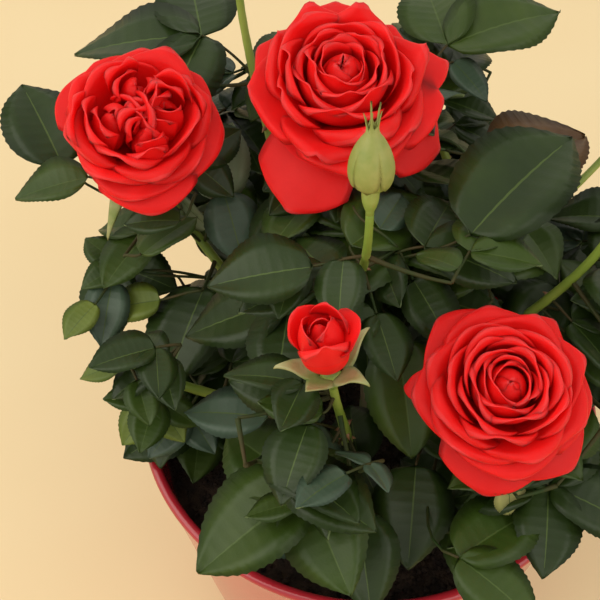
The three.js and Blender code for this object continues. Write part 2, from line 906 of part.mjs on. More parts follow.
function makeCompost() {
  const edge = (height) => potRadius(height) - POT_WALL - SEAM;
  const floor = POT_FLOOR + SEAM;
  const shore = COMPOST_TOP - COMPOST_EDGE_DROP;
  return turnedProfile([
    [0, floor],
    [edge(floor), floor],
    [edge(shore), shore],
    [COMPOST_PLATEAU, COMPOST_TOP],
    [0, COMPOST_TOP],
  ]);
}

// The assembly

const bush = new THREE.Group();

function addPiece(name, geometry, colour, roughness) {
  const material = new THREE.MeshStandardMaterial({ color: colour, roughness, metalness: 0 });
  const mesh = new THREE.Mesh(geometry, material);
  mesh.name = name;
  bush.add(mesh);
  return mesh;
}

addPiece("pot", makePot(), COLOURS.pot, 0.25);
addPiece("compost", makeCompost(), COLOURS.compost, 0.95);
SHOOTS.forEach((shoot, own) => {
  const cane = taperedTube({
    curve: paths[own][0],
    steps: SHOOT_STEPS,
    from: 0,
    to: CANE_STEPS,
    sides: CANE_SIDES,
    radiusAt: caneRadius,
  });
  addPiece(`cane_${shoot.name}`, cane, COLOURS.cane, 0.7);
  addPiece(`foliage_${shoot.name}`, growMass(own), COLOURS.foliage, 0.55);
  for (const { flower, seat, axis } of shoot.stems) {
    if (flower.name) {
      const geometry = flower.kind === "bloom" ? growBloom(flower) : growRedBud(flower);
      const petals = addPiece(flower.name, geometry, COLOURS.petal, 0.6);
      petals.position.set(...seat);
      petals.quaternion.setFromUnitVectors(UP, heading(axis));
    }
  }
});

export default bush;
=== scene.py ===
# The looks of a potted miniature rose bush: double red blooms and buds over a full crown of
# toothed three-part leaves, on canes that stand in dark compost in a glossy red pot.
# Sizes are in millimetres until a mesh is made, and the pot's axis is x = y = 0, +Z up.
import math
import random

import bpy
import numpy as np
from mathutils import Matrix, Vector, noise


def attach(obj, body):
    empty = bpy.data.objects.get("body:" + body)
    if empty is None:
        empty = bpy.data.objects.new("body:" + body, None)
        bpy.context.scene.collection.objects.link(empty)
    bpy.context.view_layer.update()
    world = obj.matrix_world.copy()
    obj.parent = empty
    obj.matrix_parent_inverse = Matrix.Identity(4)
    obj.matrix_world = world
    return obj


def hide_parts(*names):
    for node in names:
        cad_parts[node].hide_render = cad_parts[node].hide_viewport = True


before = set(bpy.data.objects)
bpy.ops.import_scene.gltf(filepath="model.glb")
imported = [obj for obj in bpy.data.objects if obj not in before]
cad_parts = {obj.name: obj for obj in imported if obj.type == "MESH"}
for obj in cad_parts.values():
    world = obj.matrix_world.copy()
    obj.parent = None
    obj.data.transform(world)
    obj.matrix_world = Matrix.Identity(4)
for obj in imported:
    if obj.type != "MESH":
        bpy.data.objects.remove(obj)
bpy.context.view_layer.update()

# The camera stands in front of the bush and looks down on it, as a person does at a table.
CAMERA_PLACE = (-21.4, -240.84, 471.54)
CAMERA_ELEVATION = 51.37
CAMERA_LENS = 82.14

camera_data = bpy.data.cameras.new("camera")
camera_data.lens = CAMERA_LENS
camera_data.sensor_width = 36
camera_data.clip_start = 0.01
camera = bpy.data.objects.new("camera", camera_data)
camera.location = Vector(CAMERA_PLACE) * 0.001
camera.rotation_euler = (math.radians(90 - CAMERA_ELEVATION), 0, 0)
bpy.context.scene.collection.objects.link(camera)
bpy.context.scene.camera = camera

# The pot is one thin shell of red plastic, moulded glossy inside and out, with its rim rolled
# outwards into a thin round lip. It tapers to a flat foot.
RIM_RADIUS = 70
POT_HEIGHT = 120
POT_TAPER = 0.19
POT_WALL = 2.6
POT_FLOOR = 4
POT_SIDES = 144
POT_ROWS = 20
POT_FOOT = 2
UNDERSIDE_INSET = 9
HUB_RADIUS = 0.5
LIP_RADIUS = 1.7
LIP_OVERHANG = 0.4
LIP_SPAN = 3 * LIP_RADIUS


def make_piece(name, parts, materials, nodes):
    """One mesh of parts, each with its points, its faces and the material of each face"""
    points = np.concatenate([part[0] for part in parts]) * 0.001
    starts = np.cumsum([0] + [len(part[0]) for part in parts])
    faces = [corner for part, start in zip(parts, starts) for corner in (part[1] + start).tolist()]
    dealt = np.concatenate([np.broadcast_to(part[2], len(part[1])) for part in parts])
    mesh = bpy.data.meshes.new(name)
    mesh.from_pydata(points, [], faces)
    for material in materials:
        mesh.materials.append(material)
    mesh.polygons.foreach_set("material_index", dealt.astype(np.int32))
    mesh.polygons.foreach_set("use_smooth", np.ones(len(faces), bool))
    piece = bpy.data.objects.new(name, mesh)
    bpy.context.scene.collection.objects.link(piece)
    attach(piece, "root")
    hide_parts(*nodes)


def numbered(rows, columns):
    return np.arange(rows * columns).reshape(rows, columns)


def grid_faces(index):
    """The four-sided faces of a grid of point numbers"""
    corners = [index[:-1, :-1], index[:-1, 1:], index[1:, 1:], index[1:, :-1]]
    return np.stack(corners, axis=-1).reshape(-1, 4)


def ring_faces(rows, columns):
    """The faces of rows of points that each close into a ring"""
    index = numbered(rows, columns)
    return grid_faces(np.concatenate([index, index[:, :1]], axis=1))


def turned(profile, sides):
    """A profile of radius and height, turned about the axis"""
    angles = np.linspace(0, 2 * np.pi, sides, endpoint=False)
    radius, height = np.array(profile, float).T
    points = np.stack(
        [
            np.outer(radius, np.cos(angles)),
            np.outer(radius, np.sin(angles)),
            np.repeat(height[:, None], sides, axis=1),
        ],
        axis=-1,
    )
    return points.reshape(-1, 3), ring_faces(len(profile), sides)


def mottle(tree, place, colours, scale):
    """Base colour that wanders between two, with a noise of the given scale per metre"""
    cloud = tree.nodes.new("ShaderNodeTexNoise")
    cloud.inputs["Scale"].default_value = scale
    cloud.inputs["Detail"].default_value = 3
    ramp = tree.nodes.new("ShaderNodeValToRGB")
    for stop, position, colour in zip(ramp.color_ramp.elements, (0.35, 0.65), colours):
        stop.position = position
        stop.color = (*colour, 1)
    tree.links.new(place.outputs["Object"], cloud.inputs["Vector"])
    tree.links.new(cloud.outputs["Fac"], ramp.inputs["Fac"])
    tree.links.new(ramp.outputs["Color"], tree.nodes["Principled BSDF"].inputs["Base Color"])


def roughen(tree, place, scale, distance, strength):
    """Fine relief from a noise of the given scale per metre"""
    grain = tree.nodes.new("ShaderNodeTexNoise")
    grain.inputs["Scale"].default_value = scale
    grain.inputs["Detail"].default_value = 4
    bump = tree.nodes.new("ShaderNodeBump")
    bump.inputs["Distance"].default_value = distance
    bump.inputs["Strength"].default_value = strength
    tree.links.new(place.outputs["Object"], grain.inputs["Vector"])
    tree.links.new(grain.outputs["Fac"], bump.inputs["Height"])
    tree.links.new(bump.outputs["Normal"], tree.nodes["Principled BSDF"].inputs["Normal"])


def finish(name, colour, other, scale, roughness, relief=None, sockets=None):
    """A finish that is mottled in two colours, with a fine relief if it has any"""
    material = bpy.data.materials.new(name)
    material.use_nodes = True
    tree = material.node_tree
    shader = tree.nodes["Principled BSDF"]
    shader.inputs["Base Color"].default_value = (*colour, 1)
    shader.inputs["Roughness"].default_value = roughness
    for socket, value in (sockets or {}).items():
        shader.inputs[socket].default_value = value
    place = tree.nodes.new("ShaderNodeTexCoord")
    mottle(tree, place, (colour, other), scale)
    if relief:
        roughen(tree, place, *relief)
    return material


def pot_radius(height):
    return RIM_RADIUS - POT_TAPER * (POT_HEIGHT - height)


def arc(centre, radius, start, end, steps):
    """Points of an arc in a profile, its angles from outwards and anticlockwise"""
    angles = np.radians(np.linspace(start, end, steps))
    return [
        (centre[0] + radius * math.cos(angle), centre[1] + radius * math.sin(angle))
        for angle in angles
    ]


foot_radius = pot_radius(0)
lip_centre = (RIM_RADIUS - LIP_RADIUS + LIP_OVERHANG, POT_HEIGHT - LIP_RADIUS)
wall_top = POT_HEIGHT - LIP_SPAN
pot_profile = [
    (HUB_RADIUS, 0),
    (foot_radius - UNDERSIDE_INSET, 0),
    *arc((foot_radius - POT_FOOT, POT_FOOT), POT_FOOT, -90, 0, 7),
    *[(pot_radius(z), z) for z in np.linspace(3 * POT_FOOT, wall_top - 1, POT_ROWS)],
    *arc(lip_centre, LIP_RADIUS, -60, 180, 22),
    *[(pot_radius(z) - POT_WALL, z) for z in np.linspace(wall_top, POT_FLOOR + 3, POT_ROWS)],
    (pot_radius(POT_FLOOR) - POT_WALL - POT_FOOT, POT_FLOOR),
    (HUB_RADIUS, POT_FLOOR),
]
pot_plastic = finish(
    "pot_plastic",
    (0.36, 0.013, 0.024),
    (0.42, 0.017, 0.03),
    scale=18,
    roughness=0.22,
    relief=(260, 0.0004, 0.08),
    sockets={"Coat Weight": 0.35, "Coat Roughness": 0.12},
)
pot_points, pot_faces = turned(pot_profile, POT_SIDES)
make_piece("pot_shell", [(pot_points, pot_faces, 0)], [pot_plastic], ["pot"])

# The compost is dark and crumbly, of peat and fine bark: a bed that fills the pot and sinks
# towards its wall, with loose crumbs lying on it.
COMPOST_TOP = 108
COMPOST_EDGE_DROP = 5
COMPOST_PLATEAU = 36
BED_RINGS = 46
BED_SIDES = 120
BED_SINK = 0.6
LUMP_HEIGHT = 1.1
LUMPS_PER_MM = 0.22
CRUMBS = 2600
CRUMB_SIZES = (0.4, 1.5)
CRUMB_MARGIN = 2

bed_edge = pot_radius(COMPOST_TOP - COMPOST_EDGE_DROP) - POT_WALL


def compost_height(radius):
    share = np.clip((radius - COMPOST_PLATEAU) / (bed_edge - COMPOST_PLATEAU), 0, 1)
    return COMPOST_TOP - COMPOST_EDGE_DROP * share


bed_rows = []
for bed_radius in np.linspace(0.4, bed_edge, BED_RINGS):
    for angle in np.linspace(0, 2 * np.pi, BED_SIDES, endpoint=False):
        x, y = bed_radius * math.cos(angle), bed_radius * math.sin(angle)
        lump = noise.fractal(Vector((x, y, 0)) * LUMPS_PER_MM, 0.8, 2.1, 4)
        bed_rows.append((x, y, float(compost_height(bed_radius)) - BED_SINK + LUMP_HEIGHT * lump))
bed_points = np.array(bed_rows)
bed_faces = ring_faces(BED_RINGS, BED_SIDES)

crumb_draw = random.Random(5)
CRUMB_CORNERS = np.array([(1, 0, 0), (-1, 0, 0), (0, 1, 0), (0, -1, 0), (0, 0, 1), (0, 0, -1)], float)
CRUMB_FACES = np.array(
    [(0, 2, 4), (2, 1, 4), (1, 3, 4), (3, 0, 4), (2, 0, 5), (1, 2, 5), (3, 1, 5), (0, 3, 5)]
)
crumb_parts = []
for _ in range(CRUMBS):
    radius = (bed_edge - CRUMB_MARGIN) * math.sqrt(crumb_draw.random())
    angle = crumb_draw.uniform(0, 2 * math.pi)
    spin = np.array([crumb_draw.gauss(0, 1) for _ in range(9)]).reshape(3, 3)
    spin = np.linalg.qr(spin)[0]
    sizes = [crumb_draw.uniform(*CRUMB_SIZES) for _ in range(3)]
    centre = (radius * math.cos(angle), radius * math.sin(angle), float(compost_height(radius)))
    crumb_parts.append((CRUMB_CORNERS * sizes @ spin + centre, CRUMB_FACES, 0))

compost_brown = finish(
    "compost_brown", (0.016, 0.009, 0.006), (0.05, 0.029, 0.017), 240, 0.95, (900, 0.0012, 0.9)
)
make_piece("compost_bed", [(bed_points, bed_faces, 0)], [compost_brown], ["compost"])
make_piece("compost_crumbs", crumb_parts, [compost_brown], [])

# Canes and stems: eight green canes stand in the compost, woody and flared at the foot, with
# small hooked prickles. Each runs up into the stem that carries its shoot's leaves and flowers.
SHOOT_STEPS = 9
CANE_STEPS = 2
NECK = CANE_STEPS / SHOOT_STEPS
FOOT_RADIUS = 2.6
CANE_TIP_RADIUS = 1.8
BRANCH_RADIUS = 1.5
STEM_TIP_RADIUS = 1.1
ROOT_FLARE = 0.5
ROOT_FLARE_FADE = 28
START_UPRIGHT = 0.36
END_ALONG_AXIS = 0.34
STEM_RINGS = 60
STEM_SIDES = 12
BARK_BUMPS = 0.07
BARK_BUMPS_PER_MM = 0.35
BARK_SPAN = 1.3 * NECK
PRICKLES = 9
PRICKLE_PLACES = (0.05, 0.7)
PRICKLE_LENGTHS = (1.4, 2.4)
PRICKLE_SET_OUT = 0.8
HIP_LENGTH = 7
# BLUISH_SHEEN is a painted sheen: a bluish-grey leaf tone that stands in for window light reflected
# on glossy leaves.
DARK, GREEN, BLUISH_SHEEN, YOUNG, REDDISH, PALE, SILVERY, UNDERSIDE, MIDRIB = range(9)
# A flower has its kind, its piece, its radius and height, and whether it shows from the front.
# A posed leaf has its share along the stem, the foot and tip of its end leaflet, the sides that
# have a leaflet too, and its tone.
SHOOTS = {
    "left": {
        "foot": (-24, 10), "heart": (-74, 34, 170), "reach": 52,
        "stems": [{
            "seat": (-66, 36, 199), "axis": (-80, 20),
            "flower": ("bloom", "bloom_left", 24, 20, True),
            "posed": [
                (0.62, (-90, 37, 186), (-104, 64, 197), (), DARK),
                (0.6, (-81, 27, 192), (-103, 24, 189), (), GREEN),
                (0.45, (-75, 21, 160), (-86, 31, 163), (-1, 1), GREEN),
                (0.45, (-77, 17, 158), (-80, -2, 152), (), BLUISH_SHEEN),
                (0.6, (-46, 34, 174), (-42, 52, 190), (), SILVERY),
                (0.3, (-50, 16, 156), (-62, -14, 148), (-1,), DARK),
            ],
        }],
    },
    "centre": {
        "foot": (0, 2), "heart": (8, 16, 188), "reach": 60,
        "stems": [{
            "seat": (-10, 41, 205), "axis": (-90, 12),
            "flower": ("bloom", "bloom_top", 28, 21, True),
            "posed": [(0.7, (-34, 32, 172), (-45, 14, 166), (-1,), BLUISH_SHEEN)],
        }, {
            "from": 0.3, "seat": (-4, -9, 226), "axis": (90, 15),
            "flower": ("green_bud", None, 6, 17, True),
            "posed": [
                (0.5, (24, 1, 197), (54, 34, 209), (), DARK),
                (0.5, (12, 1, 192), (39, -4, 188), (1,), DARK),
                (0.4, (5, -17, 174), (10, -45, 158), (), GREEN),
                (0.35, (-24, -4, 176), (-56, -6, 165), (1,), DARK),
            ],
        }],
    },
    "front": {
        "foot": (-7, -18), "heart": (-18, -50, 152), "reach": 46,
        "stems": [{
            "seat": (-14, -40, 192), "axis": (200, 8),
            "flower": ("red_bud", "red_bud_front", 9, 21, True),
            "posed": [
                (0.4, (-20, -50, 152), (-50, -70, 143), (-1, 1), GREEN),
                (0.45, (-30, -34, 162), (-54, -29, 161), (), BLUISH_SHEEN),
                (0.3, (-6, -54, 146), (-2, -80, 138), (-1,), DARK),
            ],
        }],
    },
    "right_front": {
        "foot": (17, -14), "heart": (44, -48, 140), "reach": 50,
        "stems": [{
            "seat": (31, -34, 172), "axis": (-85, 24),
            "flower": ("bloom", "bloom_right", 25, 19, True),
            "posed": [
                (0.3, (20, -70, 150), (44, -52, 150), (-1,), GREEN),
                (0.25, (11, -38, 144), (8, -66, 138), (), DARK),
                (0.4, (46, -48, 150), (74, -58, 146), (-1, 1), DARK),
            ],
        }],
    },
    "left_front": {
        "foot": (-22, -10), "heart": (-62, -20, 144), "reach": 46,
        "stems": [{
            "seat": (-72, -20, 172), "axis": (200, 30),
            "flower": None,
            "posed": [
                (0.7, (-71, -8, 141), (-87, -3, 139), (), YOUNG),
                (0.7, (-67, -14, 140), (-76, -24, 137), (-1, 1), YOUNG),
                (0.4, (-48, -31, 146), (-61, -44, 140), (-1, 1), BLUISH_SHEEN),
            ],
        }],
    },
    "right": {
        "foot": (24, 4), "heart": (80, 8, 152), "reach": 52,
        "stems": [{
            "seat": (62, -2, 213), "axis": (-30, 5),
            "flower": ("green_bud", None, 5.5, 17, False),
            "posed": [(0.45, (54, 10, 164), (38, -14, 160), (-1,), DARK)],
        }],
    },
    "back_right": {
        "foot": (14, 20), "heart": (44, 88, 168), "reach": 52,
        "stems": [{
            "seat": (84, 80, 156), "axis": (35, 50),
            "flower": ("red_bud", "red_bud_back", 9, 21, False),
            "posed": [(0.4, (36, 40, 181), (67, 62, 180), (), REDDISH)],
        }, {
            "from": 0.3, "seat": (17, 74, 204), "axis": (70, 20),
            "flower": None,
            "posed": [
                (0.9, (23, 77, 197), (58, 92, 205), (1,), GREEN),
                (0.85, (25, 74, 193), (36, 64, 188), (), BLUISH_SHEEN),
            ],
        }, {
            "from": 0.36, "seat": (-4, 90, 158), "axis": (90, 38),
            "flower": ("bloom", "bloom_back", 24, 19, False),
            "posed": [],
        }],
    },
    "back_left": {
        "foot": (-14, 20), "heart": (-48, 92, 176), "reach": 52,
        "stems": [{
            "seat": (-40, 84, 228), "axis": (100, 8),
            "flower": ("green_bud", None, 5.5, 17, False),
            "posed": [(0.75, (-51, 79, 199), (-92, 82, 197), (-1, 1), DARK)],
        }],
    },
}
UP = np.array([0.0, 0.0, 1.0])
CURVE_DIVISIONS = 200


def mix(low, high, share):
    return low + (high - low) * share


def unit(vector):
    return vector / np.linalg.norm(vector)


def heading(turn, tilt):
    """The direction that leans by the tilt from straight up, towards the turn"""
    turn, tilt = math.radians(turn), math.radians(tilt)
    flat = math.sin(tilt)
    return np.array([flat * math.cos(turn), flat * math.sin(turn), math.cos(tilt)])


class Path:
    """A Bezier curve that is walked by shares of its length"""

    def __init__(self, controls):
        self.controls = np.array(controls, float)
        raw = self.by_parameter(np.linspace(0, 1, CURVE_DIVISIONS + 1))
        steps = np.linalg.norm(np.diff(raw, axis=0), axis=1)
        self.lengths = np.concatenate([[0], np.cumsum(steps)])

    def by_parameter(self, t):
        t = np.asarray(t, float)[..., None]
        last = len(self.controls) - 1
        terms = [
            math.comb(last, i) * (1 - t) ** (last - i) * t**i * control
            for i, control in enumerate(self.controls)
        ]
        return sum(terms)

    def parameter(self, share):
        marks = np.linspace(0, 1, CURVE_DIVISIONS + 1)
        return np.interp(np.asarray(share, float) * self.lengths[-1], self.lengths, marks)

    def at(self, share):
        return self.by_parameter(self.parameter(share))

    def direction(self, share):
        t = self.parameter(share)
        ahead = self.by_parameter(np.minimum(t + 1e-4, 1))
        return unit(ahead - self.by_parameter(np.maximum(t - 1e-4, 0)))


def stem_path(start, start_direction, stem):
    """Upright where it starts, and along its flower's axis where it ends"""
    axis = heading(*stem["axis"])
    end = np.array(stem["seat"], float) - HIP_LENGTH * axis
    span = np.linalg.norm(end - start)
    lower = start + START_UPRIGHT * span * start_direction
    return Path([start, lower, end - END_ALONG_AXIS * span * axis, end])


def shoot_paths(shoot):
    stems = shoot["stems"]
    main = stem_path(np.array([*shoot["foot"], COMPOST_TOP], float), UP, stems[0])
    branches = [
        stem_path(main.at(stem["from"]), main.direction(stem["from"]), stem) for stem in stems[1:]
    ]
    return [main, *branches]


def tube(points, radii, sides):
    """A round tube of rings square to its run, closed to a point at both ends"""
    points = np.asarray(points, float)
    run = np.gradient(points, axis=0)
    run /= np.linalg.norm(run, axis=1)[:, None]
    side = np.cross(run[0], UP if abs(run[0][2]) < 0.9 else np.array([1.0, 0, 0]))
    rings = []
    angles = np.linspace(0, 2 * np.pi, sides, endpoint=False)
    for centre, along, radius in zip(points, run, radii):
        side = unit(side - along * side.dot(along))
        other = np.cross(along, side)
        ring = np.outer(np.cos(angles), side) + np.outer(np.sin(angles), other)
        rings.append(centre + radius * ring)
    rings = [np.repeat(points[:1], sides, axis=0) + 1e-3 * (rings[0] - points[0]), *rings]
    rings.append(points[-1] + 1e-3 * (rings[-1] - points[-1]))
    return np.concatenate(rings), ring_faces(len(rings), sides)


def main_radius(share):
    flare = 1 + ROOT_FLARE * np.exp(-share * ROOT_FLARE_FADE)
    woody = mix(FOOT_RADIUS, CANE_TIP_RADIUS, share / NECK) * flare
    green = mix(CANE_TIP_RADIUS, STEM_TIP_RADIUS, (share - NECK) / (1 - NECK))
    return np.where(share < NECK, woody, green)


def bark_relief(points, radii):
    """The radii of a stem that swells and narrows a little along its run"""
    spots = [noise.noise(Vector(point) * BARK_BUMPS_PER_MM) for point in points]
    return radii * (1 + BARK_BUMPS * np.array(spots))


def prickle(centre, outward, along, length):
    """A hooked prickle, broad at its foot and bent towards the ground"""
    points = [
        centre,
        centre + outward * length * 0.55 - along * length * 0.1,
        centre + outward * length - along * length * 0.45,
    ]
    return tube(points, [0.5 * length, 0.22 * length, 0.04 * length], 6)


DULL = {"Specular IOR Level": 0.2}
STEM_FINISHES = [
    finish("stem_green", (0.17, 0.27, 0.03), (0.27, 0.34, 0.055), 60, 0.45, (500, 0.0004, 0.3)),
    finish("cane_bark", (0.09, 0.12, 0.04), (0.2, 0.15, 0.08), 90, 0.6, (700, 0.0006, 0.5)),
    finish("prickle_brown", (0.2, 0.08, 0.04), (0.34, 0.18, 0.08), 200, 0.45),
    finish(
        "twig_green", (0.02, 0.042, 0.009), (0.055, 0.04, 0.014), 80, 0.6, (700, 0.0003, 0.3), DULL
    ),
]
GREEN_STEM, CANE_BARK, PRICKLE, TWIG = range(4)

paths = {name: shoot_paths(shoot) for name, shoot in SHOOTS.items()}
stem_parts = {name: [] for name in SHOOTS}
prickle_draw = random.Random(11)
for name, curves in paths.items():
    for number, curve in enumerate(curves):
        shares = np.linspace(0, 1, STEM_RINGS)
        points = curve.at(shares)
        if number == 0:
            radii = main_radius(shares)
        else:
            radii = mix(BRANCH_RADIUS, STEM_TIP_RADIUS, shares)
        body, faces = tube(points, bark_relief(points, radii), STEM_SIDES)
        woody = np.linspace(0, 1, STEM_RINGS + 1) < BARK_SPAN
        bark = np.where(np.repeat(woody, STEM_SIDES) & (number == 0), CANE_BARK, GREEN_STEM)
        stem_parts[name].append((body, faces, bark))
        for _ in range(PRICKLES):
            share = prickle_draw.uniform(*PRICKLE_PLACES)
            along = curve.direction(share)
            outward = unit(np.cross(along, [prickle_draw.gauss(0, 1) for _ in range(3)]))
            spot = curve.at(share) + outward * PRICKLE_SET_OUT
            length = prickle_draw.uniform(*PRICKLE_LENGTHS)
            stem_parts[name].append((*prickle(spot, outward, along, length), PRICKLE))

# Foliage: the leaves grow in threes and fives from thin stalks, on twigs that branch from the
# stems. They reach for places drawn by seed, each shoot in the space nearest to its heart,
# and stay clear of the flowers, the pot and each other.
SPREAD = 66
SPREAD_UP = 42
STEEPEST = 0.75
TWIGS = 10
TWIG_TRIES = 2000
TWIG_SHORTEST = 22
TWIG_LONGEST = 46
TWIG_SAG = 2.2
TOUCHING_SQUARE = 0.5
STALK_SHORTEST = 6
STALK_LONGEST = 26
SPROUTS = 15
BARE_ABOVE_NECK = 0.03
BARE_BRANCH = 0.2
BARE_BELOW_HIP = 0.93
LEAVES = 18
LEAF_TRIES = 16000
FILL_TRIES = 5000
FILL_LEAVES = 26
LEAFLET_LARGEST = 38
LEAFLET_SMALLEST = 16
LEAFLET_ASPECT = 0.7
LEAFLET_FOLD = 0.16
LEAFLET_DROOP = 0.14
LEVELLING = np.array([1, 1, 0.45])
SIDE_SIZE = 0.86
SIDE_SWING = 76
ROLL = 26
LEAF_SPACING = 1.7
FILL_SPACING = 1.2
POSED_SPACING = 5
CLEARANCE = 1.8
FLOWER_DEPTH = 0.62
FILL_LARGEST = 0.8 * LEAFLET_LARGEST
LOWER_SIZE = 0.62
LOWER_STALK = 13
LOWER_PLACE = 0.42
STALK_RISE = 0.3
STALK_STIFFNESS = 1.2
SEED = 7
CROWN_CENTRE = (3, 21)
CROWN_FLOOR_RADIUS = 86
CROWN_RADIUS = 96
CROWN_WIDENING = 0.7
CROWN_FLOOR = 112
CROWN_SHOULDER = 180
CROWN_DOME = 24
EYE = np.array([-21.0, -241.0, 472.0])
OPENINGS = np.array(
    [(69, 96, 170), (46, 80, 170), (73, 66, 170), (69, 50, 170), (-85, 38, 170)], float
)
OPENING_RADII = np.array([14, 6, 8, 6, 7], float)

names = list(SHOOTS)
hearts = np.array([SHOOTS[name]["heart"] for name in names], float)
reaches = np.array([SHOOTS[name]["reach"] for name in names], float)
other_limbs = [
    np.concatenate([c.at(np.linspace(0, 1, 41)) for n in names if n != name for c in paths[n]])
    for name in names
]
flowering = [stem for name in names for stem in SHOOTS[name]["stems"] if stem["flower"]]
flower_axes = np.array([heading(*stem["axis"]) for stem in flowering])
flower_radii = np.array([stem["flower"][2] for stem in flowering], float)
flower_heights = np.array([stem["flower"][3] for stem in flowering], float)
flower_shown = np.array([stem["flower"][4] for stem in flowering])
flower_seats = np.array([stem["seat"] for stem in flowering], float)
flower_middles = flower_seats + flower_axes * flower_heights[:, None] / 2


def seeded_random(seed):
    """Seeded numbers from 0 to 1: the same seed always gives the same run of them"""
    state = seed & 0xFFFFFFFF

    def draw():
        nonlocal state
        state = (state + 0x6D2B79F5) & 0xFFFFFFFF
        mixed = ((state ^ (state >> 15)) * (state | 1)) & 0xFFFFFFFF
        mixed ^= (mixed + ((mixed ^ (mixed >> 7)) * (mixed | 61) & 0xFFFFFFFF)) & 0xFFFFFFFF
        return ((mixed ^ (mixed >> 14)) & 0xFFFFFFFF) / 4294967296

    return draw


def own_space(points, own):
    """Which points lie in a shoot's own space, clear of the spaces of the other shoots"""
    power = ((points[:, None] - hearts) ** 2).sum(-1) - reaches**2
    apart = 2 * np.linalg.norm(hearts - hearts[own], axis=1)
    apart[own] = 1
    margin = (power - power[:, own : own + 1]) / apart
    margin[:, own] = CLEARANCE
    return (margin > CLEARANCE / 2).all(1)


def inside_crown(points):
    """Which points lie in the crown, a domed bowl that widens upwards"""
    rise = np.clip((points[:, 2] - CROWN_FLOOR) / (CROWN_SHOULDER - CROWN_FLOOR), 0, 1)
    widest = mix(CROWN_FLOOR_RADIUS, CROWN_RADIUS, rise**CROWN_WIDENING)
    share = np.hypot(points[:, 0] - CROWN_CENTRE[0], points[:, 1] - CROWN_CENTRE[1]) / widest
    top = CROWN_SHOULDER + CROWN_DOME * (1 - share**2)
    return (share < 1) & (points[:, 2] < top) & (points[:, 2] > CROWN_FLOOR)


def clear_of_pot(points):
    off_wall = np.abs(np.hypot(points[:, 0], points[:, 1]) - RIM_RADIUS) > POT_WALL + 2 * CLEARANCE
    return (points[:, 2] > POT_HEIGHT + CLEARANCE) | off_wall


def from_sight(points, places):
    """How far in front of each place, and how far beside its line of sight, each point is"""
    sights = EYE - places
    sights /= np.linalg.norm(sights, axis=1)[:, None]
    offsets = points[:, None] - places
    ahead = (offsets * sights).sum(-1)
    return ahead, np.sqrt(np.maximum((offsets**2).sum(-1) - ahead**2, 0))


def clear_of_openings(points):
    """Which points stay out of the lines of sight that run through the crown's openings"""
    return (from_sight(points, OPENINGS)[1] > OPENING_RADII).all(1)


def clear_of_flowers(points):
    """Which points stay out of the flowers, and don't hide one that shows from the front"""
    offsets = points[:, None] - flower_middles
    along = (offsets * flower_axes).sum(-1)
    across = np.sqrt(np.maximum((offsets**2).sum(-1) - along**2, 0))
    depths = FLOWER_DEPTH * flower_heights + CLEARANCE
    inside = (across / (flower_radii + CLEARANCE)) ** 2 + (along / depths) ** 2
    ahead, beside = from_sight(points, flower_middles)
    return ((inside > 1) & (~flower_shown | (ahead < 0) | (beside > flower_radii))).all(1)


def apart_from(points, others, distance):
    """Which points are further than the distance from all the others"""
    if len(others) == 0:
        return np.ones(len(points), bool)
    squares = ((points[:, None] - others) ** 2).sum(-1)
    return squares.min(1) > distance**2


def leaflet_half_width(size, t):
    round_share = np.sin(np.pi * np.clip(t, 0, 1) ** 0.8)
    return 0.5 * size * LEAFLET_ASPECT * np.maximum(round_share, 0) ** (0.6 + 0.5 * t)


def leaflet_points(leaflet, t, v):
    """Points of the leaflet's upper face, at t along it and v from -1 to 1 across it"""
    root, along, face, size = leaflet["root"], leaflet["along"], leaflet["face"], leaflet["size"]
    right = np.cross(along, face)
    half = leaflet_half_width(size, t)
    lift = LEAFLET_FOLD * half * np.abs(v) - LEAFLET_DROOP * size * t**2
    return (
        root
        + (size * t)[..., None] * along
        + (half * v)[..., None] * right
        + lift[..., None] * face
    )


SAMPLES_ACROSS = 5
SAMPLE_ROWS = [0.12, 0.26, 0.4, 0.55, 0.7, 0.85, 1]
SAMPLE_T = np.repeat(SAMPLE_ROWS, SAMPLES_ACROSS)
SAMPLE_V = np.tile(np.linspace(-1, 1, SAMPLES_ACROSS), len(SAMPLE_ROWS))


def leaflet_samples(leaflet):
    return leaflet_points(leaflet, SAMPLE_T, SAMPLE_V)


def square_to(direction, wanted):
    return unit(wanted - direction * wanted.dot(direction))


def turn_about(vector, axis, degrees):
    angle = math.radians(degrees)
    return (
        vector * math.cos(angle)
        + np.cross(axis, vector) * math.sin(angle)
        + axis * axis.dot(vector) * (1 - math.cos(angle))
    )


def make_leaflet(root, along, face, size, side):
    face = square_to(along, face)
    return {"root": root, "along": along, "face": face, "size": size, "side": side}


def make_leaf(start, end, forward, roll, size, sides):
    face = turn_about(square_to(forward, UP), forward, roll)
    leaflets = []
    for side in (0, *sides):
        along = turn_about(forward, face, side * SIDE_SWING)
        leaflets.append(make_leaflet(end, along, face, size * (SIDE_SIZE if side else 1), side))
    return {"start": start, "end": end, "leaflets": leaflets, "face": face, "tone": None}


def placed_leaf(start, base, tip, sides, tone):
    """A leaf whose end leaflet runs from its foot to its tip, its stalk from the stem"""
    base, tip = np.array([base, tip], float)
    size = np.linalg.norm(tip - base)
    leaf = make_leaf(start, base, unit(tip - base), 0, size, sides)
    leaf["tone"] = tone
    return leaf


def drawn_leaf(start, end, size, draw):
    """A leaf that carries on from its stalk, more level than it, and rolls by chance"""
    forward = unit(unit(end - start) * LEVELLING)
    return make_leaf(start, end, forward, mix(-ROLL, ROLL, draw()), size, (-1, 1))


def stalk_samples(leaf):
    shares = np.array([0.4, 0.6, 0.8, 1])[:, None]
    return leaf["start"] + shares * (leaf["end"] - leaf["start"])


def stalk_path(leaf):
    """A stalk leaves its stem a little upright and bends over to its leaflets"""
    start, end = leaf["start"], leaf["end"]
    third = (end - start) / 3
    reach = np.linalg.norm(third)
    over = unit(STALK_STIFFNESS * unit(third) + leaf["leaflets"][0]["along"])
    return Path([start, start + third + STALK_RISE * reach * UP, end - reach * over, end])


